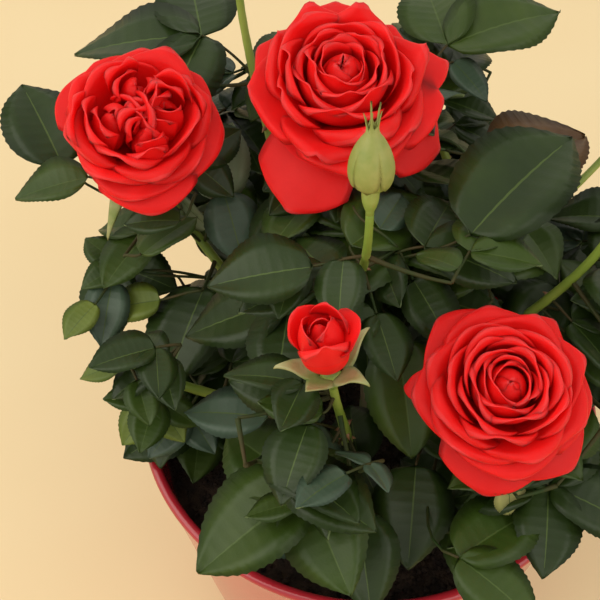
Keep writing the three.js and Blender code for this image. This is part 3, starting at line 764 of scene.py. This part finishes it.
def leaf_spots(leaf):
    return [stalk_samples(leaf), *[leaflet_samples(each) for each in leaf["leaflets"]]]


posed_leaves = [[] for _ in names]
posed_spots = [[] for _ in names]


def clear_outside(points, own, others_posed):
    """Clear of the pot, the flowers, the other shoots' limbs and their posed leaves"""
    clear = clear_of_pot(points) & clear_of_flowers(points)
    if clear.all():
        clear &= apart_from(points, other_limbs[own], CANE_TIP_RADIUS + CLEARANCE)
        clear &= apart_from(points, others_posed, POSED_SPACING)
    return clear


def posed_by_others(own):
    others = [spots for i, each in enumerate(posed_spots) if i != own for spots in each]
    return np.concatenate([np.zeros((0, 3)), *others])


for own, name in enumerate(names):
    for number, stem in enumerate(SHOOTS[name]["stems"]):
        for along, *posed in stem["posed"]:
            leaf = placed_leaf(paths[name][number].at(along), *posed)
            others = posed_by_others(own)
            leaf["leaflets"] = [
                leaflet
                for leaflet in leaf["leaflets"]
                if clear_outside(leaflet_samples(leaflet), own, others).all()
            ]
            kept = bool(leaf["leaflets"]) and leaf["leaflets"][0]["side"] == 0
            if kept and clear_outside(stalk_samples(leaf), own, others).all():
                posed_leaves[own].append(leaf)
                posed_spots[own].extend(leaf_spots(leaf))


class Taken:
    """The leaves and stalks already placed in a shoot's space"""

    def __init__(self):
        self.groups = []
        self.centres = np.zeros((0, 3))
        self.reaches = np.zeros(0)

    def add(self, points):
        centre = points.mean(0)
        self.groups.append(points)
        self.centres = np.vstack([self.centres, centre])
        self.reaches = np.append(self.reaches, np.linalg.norm(points - centre, axis=1).max())

    def clear(self, points, spacing):
        if not self.groups:
            return True
        centre = points.mean(0)
        reach = np.linalg.norm(points - centre, axis=1).max()
        distances = np.linalg.norm(self.centres - centre, axis=1)
        near = np.flatnonzero(distances < self.reaches + reach + spacing)
        return all(apart_from(points, self.groups[i], spacing).all() for i in near)


def grow_shoot(own):
    """The twigs and leaves of one shoot, first as large as there is room, then ever smaller"""
    name = names[own]
    draw = seeded_random(SEED + own)
    taken = Taken()
    leaves = list(posed_leaves[own])
    twigs = []
    others = posed_by_others(own)
    lowest = [NECK + BARE_ABOVE_NECK] + [BARE_BRANCH] * (len(paths[name]) - 1)
    network = np.concatenate(
        [
            path.at(np.linspace(share, BARE_BELOW_HIP, SPROUTS))
            for path, share in zip(paths[name], lowest)
        ]
    )

    def fits(points):
        return (
            inside_crown(points).all()
            and own_space(points, own).all()
            and clear_of_openings(points).all()
            and clear_outside(points, own, others).all()
        )

    def pick(shortest, longest):
        spread = [mix(-reach, reach, draw()) for reach in (SPREAD, SPREAD, SPREAD_UP)]
        end = hearts[own] + spread
        start = network[((network - end) ** 2).sum(1).argmin()]
        length = np.linalg.norm(start - end)
        if not shortest < length < longest or abs(end[2] - start[2]) / length >= STEEPEST:
            return None
        return (start, end) if fits(end[None]) else None

    def place(leaf, least, spacing):
        stalk = stalk_samples(leaf)
        if not fits(stalk) or not taken.clear(stalk, spacing):
            return False
        kept = []
        for leaflet in leaf["leaflets"]:
            samples = leaflet_samples(leaflet)
            if fits(samples) and taken.clear(samples, spacing):
                kept.append(leaflet)
        if len(kept) < least or kept[0]["side"] != 0:
            return False
        leaf["leaflets"] = kept
        leaves.append(leaf)
        for spots in leaf_spots(leaf):
            taken.add(spots)
        return True

    def add_lower_pair(leaf):
        """A smaller pair of leaflets further down a long stalk, where there is room"""
        stalk = stalk_path(leaf)
        size = LOWER_SIZE * leaf["leaflets"][0]["size"]
        if stalk.lengths[-1] < LOWER_STALK:
            return
        along = stalk.direction(LOWER_PLACE)
        face = square_to(along, leaf["face"])
        for side in (-1, 1):
            ahead = turn_about(along, face, side * SIDE_SWING)
            leaflet = make_leaflet(stalk.at(LOWER_PLACE), ahead, face, size, side)
            samples = leaflet_samples(leaflet)[SAMPLES_ACROSS:]
            if fits(samples) and taken.clear(samples, FILL_SPACING):
                leaf["leaflets"].append(leaflet)
                taken.add(samples)

    for leaf in leaves:
        for spots in leaf_spots(leaf):
            taken.add(spots)
    tries = 0
    while tries < TWIG_TRIES and len(twigs) < TWIGS:
        tries += 1
        reach = pick(TWIG_SHORTEST, TWIG_LONGEST)
        if reach:
            start, end = reach
            twig = Path([start, (start + end) / 2 - TWIG_SAG * UP, end])
            samples = twig.by_parameter(np.arange(2, 9) / 8)
            if fits(samples) and taken.clear(samples, LEAF_SPACING):
                twigs.append(twig)
                network = np.concatenate([network, samples[2:]])
    tries, count = 0, 0
    while tries < LEAF_TRIES and count < LEAVES:
        reach = pick(STALK_SHORTEST, STALK_LONGEST)
        if reach:
            size = mix(LEAFLET_LARGEST, LEAFLET_SMALLEST, tries / LEAF_TRIES)
            leaf = drawn_leaf(*reach, size, draw)
            count += place(leaf, 3 if tries < LEAF_TRIES / 2 else 2, LEAF_SPACING)
        tries += 1
    for leaf in leaves:
        add_lower_pair(leaf)
    tries, count = 0, 0
    while tries < FILL_TRIES and count < FILL_LEAVES:
        reach = pick(STALK_SHORTEST, STALK_LONGEST)
        if reach:
            size = mix(FILL_LARGEST, LEAFLET_SMALLEST, tries / FILL_TRIES)
            leaf = drawn_leaf(*reach, size, draw)
            if place(leaf, 2 if tries < FILL_TRIES / 2 else 1, FILL_SPACING):
                add_lower_pair(leaf)
                count += 1
        tries += 1
    return twigs, leaves


def used_twigs(twigs, leaves):
    """Each twig that carries a leaf or a twig, with the share of it that they need"""
    starts = [leaf["start"] for leaf in leaves]
    shares = np.linspace(0, 1, 81)
    kept = []
    for twig in reversed(twigs):
        marks = twig.at(shares)
        squares = [((marks - start) ** 2).sum(1) for start in starts]
        needed = [shares[each.argmin()] for each in squares if each.min() < TOUCHING_SQUARE]
        if needed:
            kept.append((twig, max(needed)))
            starts.append(twig.at(0.0))
    return kept


# A leaflet's blade: a finely toothed oval with a sunk midrib and side veins that slope
# forwards, dark and half glossy above, pale and dull below.
BLADE_ROWS = 29
BLADE_COLUMNS = np.array([-1, -0.5, -0.022, 0.022, 0.5, 1])
VEIN_EVERY = 3
BLADE_THICKNESS = 0.4
BLADE_ASPECTS = (0.68, 0.78)
BLADE_NARROWEST = 0.25
FOLDS = (0.4, 2.0)
DROOPS = (-0.05, 0.1)
TWISTS = (-0.2, 0.2)
WAVE_HEIGHT = 0.03
VEIN_DEPTH = 0.005
MIDRIB_DEPTH = 0.012
MIDRIB_LEAVES_BARE = 3
TOOTH = 0.035
TOOTH_SET_FORWARD = 0.008
PHASES = (0, 6.3)
TWIG_RADII = (0.75, 0.45)
TWIG_RINGS = 14
STALK_RADII = (0.5, 0.38)
STALK_RINGS = 12


def thin_solid(points, thickness):
    """A closed sheet: its face, a back set in by the thickness, and one rim for both"""
    rows, columns, _ = points.shape
    normal = np.cross(np.gradient(points, axis=1), np.gradient(points, axis=0))
    normal /= np.maximum(np.linalg.norm(normal, axis=-1), 1e-9)[..., None]
    front = numbered(rows, columns)
    back = front.copy()
    back[1:-1, 1:-1] = rows * columns + numbered(rows - 2, columns - 2)
    inner = (points - thickness * normal)[1:-1, 1:-1]
    vertices = np.concatenate([points.reshape(-1, 3), inner.reshape(-1, 3)])
    return vertices, grid_faces(front), grid_faces(back)[:, [0, 3, 2, 1]]


def blade(leaflet, tone, draw):
    """The mesh of one leaflet, with the number of its finish for each face"""
    rows = np.arange(BLADE_ROWS)[:, None] / (BLADE_ROWS - 1)
    v = np.broadcast_to(BLADE_COLUMNS, (BLADE_ROWS, len(BLADE_COLUMNS)))
    size = leaflet["size"]
    slope = 0.1 * np.abs(v) * np.sin(np.pi * rows)
    t = np.clip(rows + slope * (1 - rows), 0, 1) * np.ones_like(v)
    outline = np.maximum(np.sin(np.pi * t**0.8), 0) ** (0.55 + 0.35 * t**2)
    half = np.maximum(0.5 * size * draw.uniform(*BLADE_ASPECTS) * outline, BLADE_NARROWEST)
    notch = (np.arange(BLADE_ROWS) % 2)[:, None] * (np.abs(v) > 0.9) * np.sin(np.pi * rows) ** 0.4
    fold = LEAFLET_FOLD * draw.uniform(*FOLDS)
    droop = LEAFLET_DROOP + draw.uniform(*DROOPS)
    twist, phase = draw.uniform(*TWISTS), draw.uniform(*PHASES)
    lift = fold * half * np.abs(v) ** 0.8 - droop * size * t**2 + twist * half * v * t
    lift = lift + WAVE_HEIGHT * size * v**2 * np.sin(8 * t + phase + np.sign(v))
    vein = (np.arange(BLADE_ROWS) % VEIN_EVERY == 0)[:, None] & (np.abs(v) < 0.9)
    lift = lift - VEIN_DEPTH * size * vein - MIDRIB_DEPTH * size * (np.abs(v) < 0.1)
    along, face = leaflet["along"], leaflet["face"]
    points = (
        leaflet["root"]
        + (size * (0.985 * t + TOOTH_SET_FORWARD * notch))[..., None] * along
        + (half * v * (1 + TOOTH * notch))[..., None] * np.cross(along, face)
        + lift[..., None] * face
    )
    vertices, front, back = thin_solid(points, BLADE_THICKNESS)
    columns = len(BLADE_COLUMNS) - 1
    upper = np.full((BLADE_ROWS - 1, columns), tone)
    upper[:-MIDRIB_LEAVES_BARE, columns // 2] = MIDRIB
    under = np.full(len(back), UNDERSIDE)
    return vertices, np.concatenate([front, back]), np.concatenate([upper.ravel(), under])


def leaf_finish(name, colour, other, roughness):
    waxy = {"Specular IOR Level": 0.32}
    return finish(name, colour, other, 70, roughness, (1400, 0.0002, 0.25), waxy)


LEAF_FINISHES = [
    leaf_finish("leaf_dark", (0.015, 0.031, 0.005), (0.023, 0.044, 0.007), 0.4),
    leaf_finish("leaf_green", (0.028, 0.055, 0.006), (0.042, 0.072, 0.009), 0.42),
    # The bluish tone is a painted reflection: the sheen of glossy leaves put into their colour.
    leaf_finish("leaf_bluish_painted_sheen", (0.038, 0.066, 0.04), (0.055, 0.09, 0.056), 0.36),
    leaf_finish("leaf_young", (0.09, 0.13, 0.016), (0.13, 0.17, 0.024), 0.45),
    leaf_finish("leaf_reddish", (0.07, 0.032, 0.01), (0.1, 0.05, 0.014), 0.42),
    leaf_finish("leaf_pale", (0.26, 0.27, 0.08), (0.38, 0.35, 0.14), 0.5),
    leaf_finish("leaf_silvery", (0.13, 0.17, 0.09), (0.17, 0.21, 0.12), 0.45),
    leaf_finish("leaf_underside", (0.08, 0.12, 0.045), (0.1, 0.145, 0.055), 0.6),
    leaf_finish("leaf_midrib", (0.055, 0.09, 0.018), (0.07, 0.11, 0.025), 0.5),
]
YOUNG_LEAVES = {
    "left": [
        ((-77, 17, 158), (-81.5, 9, 157), (-90.2, -1.6, 156), YOUNG),
        ((-50, 27, 172), (-52.6, 22, 176), (-61.2, 10.8, 174), PALE),
        ((-46, 35, 172), (-43.5, 32, 180), (-37, 12.5, 172), BLUISH_SHEEN),
    ],
    "left_front": [
        ((-68.7, -18.8, 165.9), (-70, -19, 165.5), (-83.5, -20, 163), YOUNG),
        ((-68.7, -18.8, 165.9), (-66, -24, 165), (-62, -36, 161), GREEN),
    ],
    "right_front": [((33, -45, 160), (33, -54, 162), (35.4, -59.4, 151), PALE)],
}
TONE_SHARES = {"left": (0.35, 0.45, 0.08, 0.12), "left_front": (0.35, 0.4, 0.1, 0.15)}
USUAL_SHARES = (0.6, 0.28, 0.1, 0.02)
DROOPING_PETALS = [(-21, 14, 192), (12, 29, 194)]
RED_BUD_STEM = [(-10.6, -35.7, 165.5), (-9.4, -31.3, 154.2)]
GROUND_GAP = [(-59, 61, 120), (-62, 56, 120)]
KEPT_IN_SIGHT = np.array([*DROOPING_PETALS, *RED_BUD_STEM, *GROUND_GAP], float)
SIGHT_WIDTHS = np.array([7, 7, 5, 5, 3.5, 3.5])
BARE_TWIG_END = np.array([-33.2, -65.6, 167.6])


def open_view(leaf, leaflet):
    """Whether a leaflet leaves the view open on the petals, stems and ground behind it"""
    ahead, beside = from_sight(leaflet_samples(leaflet), KEPT_IN_SIGHT)
    bare = np.linalg.norm(leaf["start"] - BARE_TWIG_END) < 2
    return not bare and not ((ahead > 0) & (beside < SIGHT_WIDTHS)).any()


for own, name in enumerate(names):
    twigs, leaves = grow_shoot(own)
    for start, base, tip, tone in YOUNG_LEAVES.get(name, ()):
        leaves.append(placed_leaf(np.array(start, float), base, tip, (), tone))
    for leaf in leaves:
        leaf["leaflets"] = [leaflet for leaflet in leaf["leaflets"] if open_view(leaf, leaflet)]
    leaves = [leaf for leaf in leaves if leaf["leaflets"]]
    draw = random.Random(own)
    for twig, needed in used_twigs(twigs, leaves):
        points = twig.at(np.linspace(0, needed, TWIG_RINGS))
        radii = bark_relief(points, np.linspace(*TWIG_RADII, TWIG_RINGS))
        stem_parts[name].append((*tube(points, radii, 8), TWIG))
    leaf_parts = []
    for leaf in leaves:
        tone = leaf["tone"]
        if tone is None:
            tone = draw.choices(range(4), TONE_SHARES.get(name, USUAL_SHARES))[0]
        stalk = stalk_path(leaf).at(np.linspace(0, 1, STALK_RINGS))
        stem_parts[name].append((*tube(stalk, np.linspace(*STALK_RADII, STALK_RINGS), 6), TWIG))
        leaf_parts.extend(blade(leaflet, tone, draw) for leaflet in leaf["leaflets"])
    make_piece(f"leaves_{name}", leaf_parts, LEAF_FINISHES, [f"foliage_{name}"])
    nodes = [f"cane_{name}", f"foliage_{name}"]
    make_piece(f"stems_{name}", stem_parts[name], STEM_FINISHES, nodes)

# Hips, sepals and green buds: under every flower the stem swells into a hip, and five narrow
# sepals with long tips leave it. They lie back under an open bloom and close over a green bud.
HIP_TOP_RADIUS = 2.3
HIP_ROWS = 9
HIP_SIDES = 20
SEPALS = 5
SEPAL_LENGTH = 15
SEPAL_HALF_WIDTH = 2.6
BUD_SEPAL_LENGTH = 0.85 * SEPAL_LENGTH
BUD_SEPAL_HALF_WIDTH = 4.2
SEPAL_ROWS = np.linspace(0, 1, 16)
SEPAL_COLUMNS = np.linspace(-1, 1, 7)
SEPAL_THICKNESS = 0.5
BUD_SHARE = 0.9
BUD_ROWS = 16
LONG_SEPALS = {
    "bloom_left": (-110, 30, 3.4, ([0, 0.3, 0.6, 1], [85, 104, 130, 155])),
}
CALYX_FINISHES = [
    finish("hip_green", (0.2, 0.29, 0.04), (0.28, 0.34, 0.07), 120, 0.42, (700, 0.0004, 0.3)),
    finish("sepal_green", (0.19, 0.25, 0.065), (0.42, 0.4, 0.19), 130, 0.5, (900, 0.0004, 0.4)),
    finish("bud_green", (0.2, 0.25, 0.045), (0.31, 0.31, 0.08), 150, 0.5, (900, 0.0004, 0.3)),
]
HIP, SEPAL, BUD = range(3)


def turn_from_up(axis):
    """The rotation that takes straight up to the axis the shortest way"""
    crossed = np.cross(UP, axis)
    cosine = UP.dot(axis)
    skew = np.array(
        [[0, -crossed[2], crossed[1]], [crossed[2], 0, -crossed[0]], [-crossed[1], crossed[0], 0]]
    )
    return np.eye(3) + skew + skew @ skew / (1 + cosine)


def seated(part, stem):
    """A part made round an upright axis, set on its stem's seat"""
    turn = turn_from_up(heading(*stem["axis"]))
    return (part[0] @ turn.T + np.array(stem["seat"], float), *part[1:])


def spun(points, turn):
    """Points of a blade made towards +X, turned about the axis"""
    angle = math.radians(turn)
    cosine, sine = math.cos(angle), math.sin(angle)
    return points @ np.array([[cosine, sine, 0], [-sine, cosine, 0], [0, 0, 1]])


def sepal(turn, length, width, start, lean):
    """A narrow blade whose lean changes along it; lean is in degrees away from the axis"""
    leans = np.radians(np.interp(SEPAL_ROWS, *lean))
    steps = np.gradient(SEPAL_ROWS) * length
    out = start[0] + np.cumsum(np.sin(leans) * steps)
    rise = start[1] + np.cumsum(np.cos(leans) * steps)
    half = width * np.maximum(np.sin(np.pi * SEPAL_ROWS**0.55) ** 0.8 * (1 - 0.45 * SEPAL_ROWS), 0.05)
    y = half[:, None] * SEPAL_COLUMNS
    x = out[:, None] - 0.25 * half[:, None] * SEPAL_COLUMNS**2
    points = np.stack([x, y, rise[:, None] + 0 * y], axis=-1)
    vertices, front, back = thin_solid(spun(points, turn), SEPAL_THICKNESS)
    return vertices, np.concatenate([front, back]), SEPAL


def bud_profile(share, radius):
    """The radius of a green bud at a share of its height: full low down, narrow at the top"""
    return 0.9 * radius * math.sin(math.pi * (0.2 + 0.77 * min(share, 1) ** 0.85)) ** 0.7


def closed_sepal(turn, radius, height, tip, draw):
    """A sepal that lies on its bud and runs out above it into a fine tip"""
    shares = SEPAL_ROWS * (1 + tip / height)
    rest = np.maximum(shares - 1, 0) * height / tip
    out = np.array([bud_profile(share, radius) for share in shares]) + 0.3
    out = out + rest**1.5 * draw.uniform(-0.1, 1.2)
    half = 0.66 * radius * np.maximum(np.sin(np.pi * SEPAL_ROWS**0.6), 0) ** 0.7
    half = np.maximum(half * (1 - 0.9 * np.minimum(3 * rest, 1)), 0.25)
    angles = (half / np.maximum(out, 0.8))[:, None] * SEPAL_COLUMNS
    lift = 0.22 * (1 - SEPAL_COLUMNS**2)
    out = out[:, None] + lift
    rise = (shares * height)[:, None] + 0 * angles
    points = np.stack([out * np.cos(angles), out * np.sin(angles), rise], axis=-1)
    vertices, front, back = thin_solid(spun(points, turn), SEPAL_THICKNESS)
    return vertices, np.concatenate([front, back]), BUD


calyx_draw = random.Random(3)
for name in names:
    calyx_parts = []
    for stem in SHOOTS[name]["stems"]:
        if not stem["flower"]:
            continue
        kind, bloom, radius, height, _ = stem["flower"]
        fullness = 0.5 if kind == "green_bud" else 1.2
        hip = [(0.05, -HIP_LENGTH - 2), (STEM_TIP_RADIUS, -HIP_LENGTH - 1)]
        for share in np.linspace(0, 1, HIP_ROWS):
            bulge = fullness * math.sin(math.pi * share**0.8) ** 1.2
            neck = mix(STEM_TIP_RADIUS, HIP_TOP_RADIUS, share)
            hip.append((neck + bulge, (share - 1) * HIP_LENGTH))
        if kind == "green_bud":
            for share in np.linspace(0.04, 1, BUD_ROWS):
                hip.append((bud_profile(share, radius), share * BUD_SHARE * height))
        hip.append((0.05, hip[-1][1] + 0.2))
        calyx_parts.append(seated((*turned(hip, HIP_SIDES), HIP), stem))
        for number in range(SEPALS):
            turn = 180 + 360 / SEPALS * number + calyx_draw.uniform(-8, 8)
            if kind == "bloom":
                lean = ([0, 0.25, 1], [75, 112, calyx_draw.uniform(100, 150)])
                part = sepal(turn, SEPAL_LENGTH, SEPAL_HALF_WIDTH, (1.6, -0.6), lean)
            elif kind == "red_bud":
                lean = ([0, 0.2, 0.6, 1], [65, 62, 40, calyx_draw.uniform(30, 120)])
                part = sepal(turn, BUD_SEPAL_LENGTH, BUD_SEPAL_HALF_WIDTH, (2, -0.4), lean)
            else:
                tip = calyx_draw.uniform(5, 8)
                part = closed_sepal(turn, radius, BUD_SHARE * height, tip, calyx_draw)
            calyx_parts.append(seated(part, stem))
        if bloom in LONG_SEPALS:
            turn, length, width, lean = LONG_SEPALS[bloom]
            calyx_parts.append(seated(sepal(turn, length, width, (1.6, -1.2), lean), stem))
    if calyx_parts:
        make_piece(f"calyx_{name}", calyx_parts, CALYX_FINISHES, [])

# Blooms: double red roses. The petals leave the hip in a spiral, the outer ones wide open with
# their lips rolled back, the inner ones ever more upright and folded round the heart.
PETAL_ROWS = 12
LIP_ROWS = 7
PETAL_SIDES = np.linspace(-1, 1, 17)
PETAL_THICKNESS = 0.35
PETAL_TURN = 137.5
ROSES = {
    "bloom_left": {
        "petals": 44, "edge": 0.34, "dip": 0.1, "point": 0.4, "closed": 0.98,
        "hearts": [(7, 1, 0.72), (-6.5, -3, 0.8), (-1, 6, 0.6), (2, -7, 0.62)],
        "loose": [(-80, 24, 6, 13), (150, 25, 4, 12)],
    },
    "bloom_top": {
        "petals": 38, "edge": 0.34, "dip": 0.12, "point": 0.9, "closed": 1.0,
        "loose": [(-119, 30, -6, 14), (-18, 28, -4, 14), (20, 29, 7, 10), (95, 30, 8, 11)],
    },
    "bloom_right": {
        "petals": 42, "edge": 0.36, "dip": 0.12, "point": 0.45, "closed": 0.98,
        "loose": [(178, 24, 3, 5), (-100, 25, 1, 13), (-50, 25, 2, 13)],
    },
    "bloom_back": {
        "petals": 36, "edge": 0.36, "dip": 0.2, "point": 0.6, "closed": 1.0,
        "loose": [(60, 25, 0, 13)],
    },
}
for red_bud in ("red_bud_front", "red_bud_back"):
    ROSES[red_bud] = {
        "petals": 8, "edge": 0.86, "dip": 0.05, "point": 0.8, "closed": 1.08, "broad": 1.5,
    }
HEARTS_FROM = 0.36
ROSE_FILL = 0.93
HEART_RADIUS = 0.06
HALF_WIDTHS = (0.54, 0.34)
CUPS = (-26, 34)
CUPPED_FROM = 0.35
CURVE_REACH = 0.38
OUTER_UNTIL = 0.3
OUTER_ROLLS = (70, 150)
INNER_ROLLS = (100, 75)
ROLL_STEPS = (0.085, 0.05)
CURLED_IN_FROM = 0.86
CURL_IN = -1.3
POINT_WIDTH = 0.28
WIDEST_ROW = 0.62
WRAPS = (60, 105)
RIPPLE_OUT = 0.035
RIPPLE_UP = 0.025
SIDE_DROOP = 0.12


def petal(draw, turn, lip, share, half_width, rose, radius):
    """A grid of points over one petal, whose lip is at a radius and height of the flower"""
    v = PETAL_SIDES
    base = np.array([1.5, 0.3 + 2.4 * share])
    chord = np.array(lip) - base
    slant = math.atan2(chord[1], chord[0])
    cup = math.radians(mix(*CUPS, min(share / CUPPED_FROM, 1)))
    reach = CURVE_REACH * np.linalg.norm(chord)
    first = base + reach * np.array([math.cos(slant - cup), math.sin(slant - cup)])
    second = lip - reach * np.array([math.cos(slant + cup), math.sin(slant + cup)])
    body = Path([base, first, second, lip])
    ends = 1 - mix(0.2, 0.1, share) * np.abs(v) ** 2.5
    t = np.linspace(0, 1, PETAL_ROWS)[:, None] * ends
    profile = body.by_parameter(t)
    ahead = body.by_parameter(ends) - body.by_parameter(ends - 0.02)
    slopes = np.arctan2(ahead[:, 1], ahead[:, 0])
    if share > OUTER_UNTIL:
        roll = math.radians(mix(*INNER_ROLLS, share))
    else:
        roll = math.radians(mix(*OUTER_ROLLS, share / OUTER_UNTIL))
    step = mix(*ROLL_STEPS, share) * radius * draw.uniform(0.8, 1.2) * roll / LIP_ROWS
    if share < CURLED_IN_FROM:
        roll *= draw.uniform(0.7, 1.2)
    else:
        roll *= CURL_IN
        step *= 2
    rolls = roll * (1 - rose["point"] * np.exp(-((v / POINT_WIDTH) ** 2)))
    lips = [profile[-1]]
    for number in range(LIP_ROWS):
        angles = slopes - rolls * (number + 1) / LIP_ROWS
        lips.append(lips[-1] + step * np.stack([np.cos(angles), np.sin(angles)], axis=-1))
    profile = np.concatenate([profile, np.array(lips[1:])])
    rows = np.linspace(0, 1, len(profile))[:, None]
    phase = draw.uniform(*PHASES)
    radii, rise = profile[..., 0], profile[..., 1]
    spread = np.sin(np.pi / 2 * np.minimum(rows / WIDEST_ROW, 1)) ** 0.7
    spread = spread * (1 - 0.3 * np.clip((rows - 0.7) / 0.3, 0, 1) ** 2)
    wrap = math.radians(mix(*WRAPS, share))
    angles = np.minimum(half_width * spread / np.maximum(radii, 1.5), wrap) * v
    flat = mix(0.45, 0, min(share / 0.5, 1)) * np.minimum(1 / np.cos(np.clip(angles, -1, 1)) - 1, 0.4)
    radii = radii * (1 + flat)
    radii = radii + RIPPLE_OUT * radius * rows**2 * np.sin(2.4 * v + phase)
    rise = rise + RIPPLE_UP * radius * rows**2 * np.sin(3 * v + 2 * phase)
    rise = rise - mix(SIDE_DROOP, 0, min(share / 0.4, 1)) * half_width * rows * v**2
    radii = np.maximum(radii, 0.3)
    angles = angles + turn + 0.06 * rows * np.sin(phase)
    return np.stack([radii * np.cos(angles), radii * np.sin(angles), rise], axis=-1)


def rose_parts(name, radius, height):
    """All the petals of one flower, with painted light in three reds: a paler lip as a painted
    highlight, a red blade dimmed where it faces the lights, and a brighter throat that lifts the
    shade deep in the flower
    """
    rose = ROSES[name]
    draw = random.Random(name)
    plan = [
        (math.radians(turn), (lip_radius, lip_height), 0.0, half_width, (0, 0, 0))
        for turn, lip_radius, lip_height, half_width in rose.get("loose", ())
    ]
    for number in range(rose["petals"]):
        share = number / (rose["petals"] - 1)
        turn = math.radians(PETAL_TURN * number + draw.uniform(-10, 10))
        lip_radius = rose["closed"] * ROSE_FILL * radius * mix(1.0, HEART_RADIUS, share**0.9)
        crown = math.sin(math.pi / 2 * min(share / 0.6, 1))
        sunk = rose["dip"] * max(share - 0.7, 0) / 0.3
        lip_height = height * (mix(rose["edge"], 1.0, crown) - sunk) * draw.uniform(0.94, 1.04)
        lip_radius *= draw.uniform(0.95, 1.05)
        half_width = rose.get("broad", 1) * radius * mix(*HALF_WIDTHS, share)
        half_width *= draw.uniform(0.9, 1.15)
        heart = (0, 0, 0)
        if "hearts" in rose and share > HEARTS_FROM:
            x, y, scale = rose["hearts"][number % len(rose["hearts"])]
            heart = (x, y, draw.uniform(-1.5, 1))
            lip_radius *= scale
            half_width *= scale
        plan.append((turn, (lip_radius, lip_height), share, half_width, heart))
    parts = []
    for turn, lip, share, half_width, heart in plan:
        points = petal(draw, turn, lip, share, half_width, rose, radius) + heart
        vertices, front, back = thin_solid(points[:, ::-1], PETAL_THICKNESS)
        rows = np.repeat(np.arange(PETAL_ROWS + LIP_ROWS - 1), len(PETAL_SIDES) - 1)
        # Rows deal the painted light: the lower rows take the throat red, brighter against their
        # shade, the middle rows the dimmed blade red, and the lip rows the paler painted highlight.
        tone = np.digitize(rows, [PETAL_ROWS * 0.55, PETAL_ROWS + LIP_ROWS * 0.5])
        parts.append((vertices, np.concatenate([front, back]), np.concatenate([tone, tone])))
    return parts


LIT_THROUGH = {
    "Specular IOR Level": 0.22,
    "Subsurface Weight": 0.75,
    "Subsurface Radius": (1, 0.06, 0.05),
    "Subsurface Scale": 0.0018,
}
# Painted light on the petals: the throat red is brighter to lift the shade deep in the flower, the
# blade red is darker where it faces the lights, and the lip red is paler and pinker as a painted
# highlight on the rolled edges.
PETAL_REDS_WITH_PAINTED_LIGHT = {
    "petal_throat_painted_fill_light": [(0.93, 0.004, 0.005), (0.96, 0.005, 0.006)],
    "petal_red_dimmed_where_lit": [(0.8, 0.007, 0.007), (0.85, 0.011, 0.011)],
    "petal_lip_painted_highlight": [(0.78, 0.028, 0.03), (0.82, 0.038, 0.04)],
}
PETAL_FINISHES = [
    finish(name, *reds, 160, 0.55, (1600, 0.0002, 0.25), LIT_THROUGH)
    for name, reds in PETAL_REDS_WITH_PAINTED_LIGHT.items()
]
for name in names:
    for stem in SHOOTS[name]["stems"]:
        if stem["flower"] and stem["flower"][1]:
            _, piece, radius, height, _ = stem["flower"]
            parts = [seated(part, stem) for part in rose_parts(piece, radius, height)]
            make_piece(f"{piece}_petals", parts, PETAL_FINISHES, [piece])

# The studio: a plain warm pale floor, one large soft light from the left and front, a weaker
# one from the right, and a pale surround.
floor_mesh = bpy.data.meshes.new("floor")
floor_mesh.from_pydata([(-3, -3, 0), (3, -3, 0), (3, 3, 0), (-3, 3, 0)], [], [(0, 1, 2, 3)])
floor_mesh.materials.append(
    finish("floor_finish", (0.83, 0.64, 0.36), (0.86, 0.69, 0.41), 4, 0.55)
)
floor = bpy.data.objects.new("floor", floor_mesh)
bpy.context.scene.collection.objects.link(floor)


def soft_light(name, place, target, size, power, colour):
    data = bpy.data.lights.new(name, "AREA")
    data.size = size
    data.energy = power
    data.color = colour
    light = bpy.data.objects.new(name, data)
    light.location = place
    aim = Vector(target) - Vector(place)
    light.rotation_euler = aim.to_track_quat("-Z", "Y").to_euler()
    bpy.context.scene.collection.objects.link(light)


soft_light("window_light", (-0.9, -0.25, 1.0), (0, 0, 0.16), 1.4, 10, (1, 0.95, 0.86))
soft_light("fill_light", (0.9, -0.7, 0.9), (0, 0, 0.16), 1.2, 5, (1, 0.96, 0.88))
world = bpy.data.worlds.new("surround")
world.use_nodes = True
world.node_tree.nodes["Background"].inputs["Color"].default_value = (1, 0.96, 0.88, 1)
world.node_tree.nodes["Background"].inputs["Strength"].default_value = 0.78
bpy.context.scene.world = world
bpy.context.scene.view_settings.view_transform = "Standard"
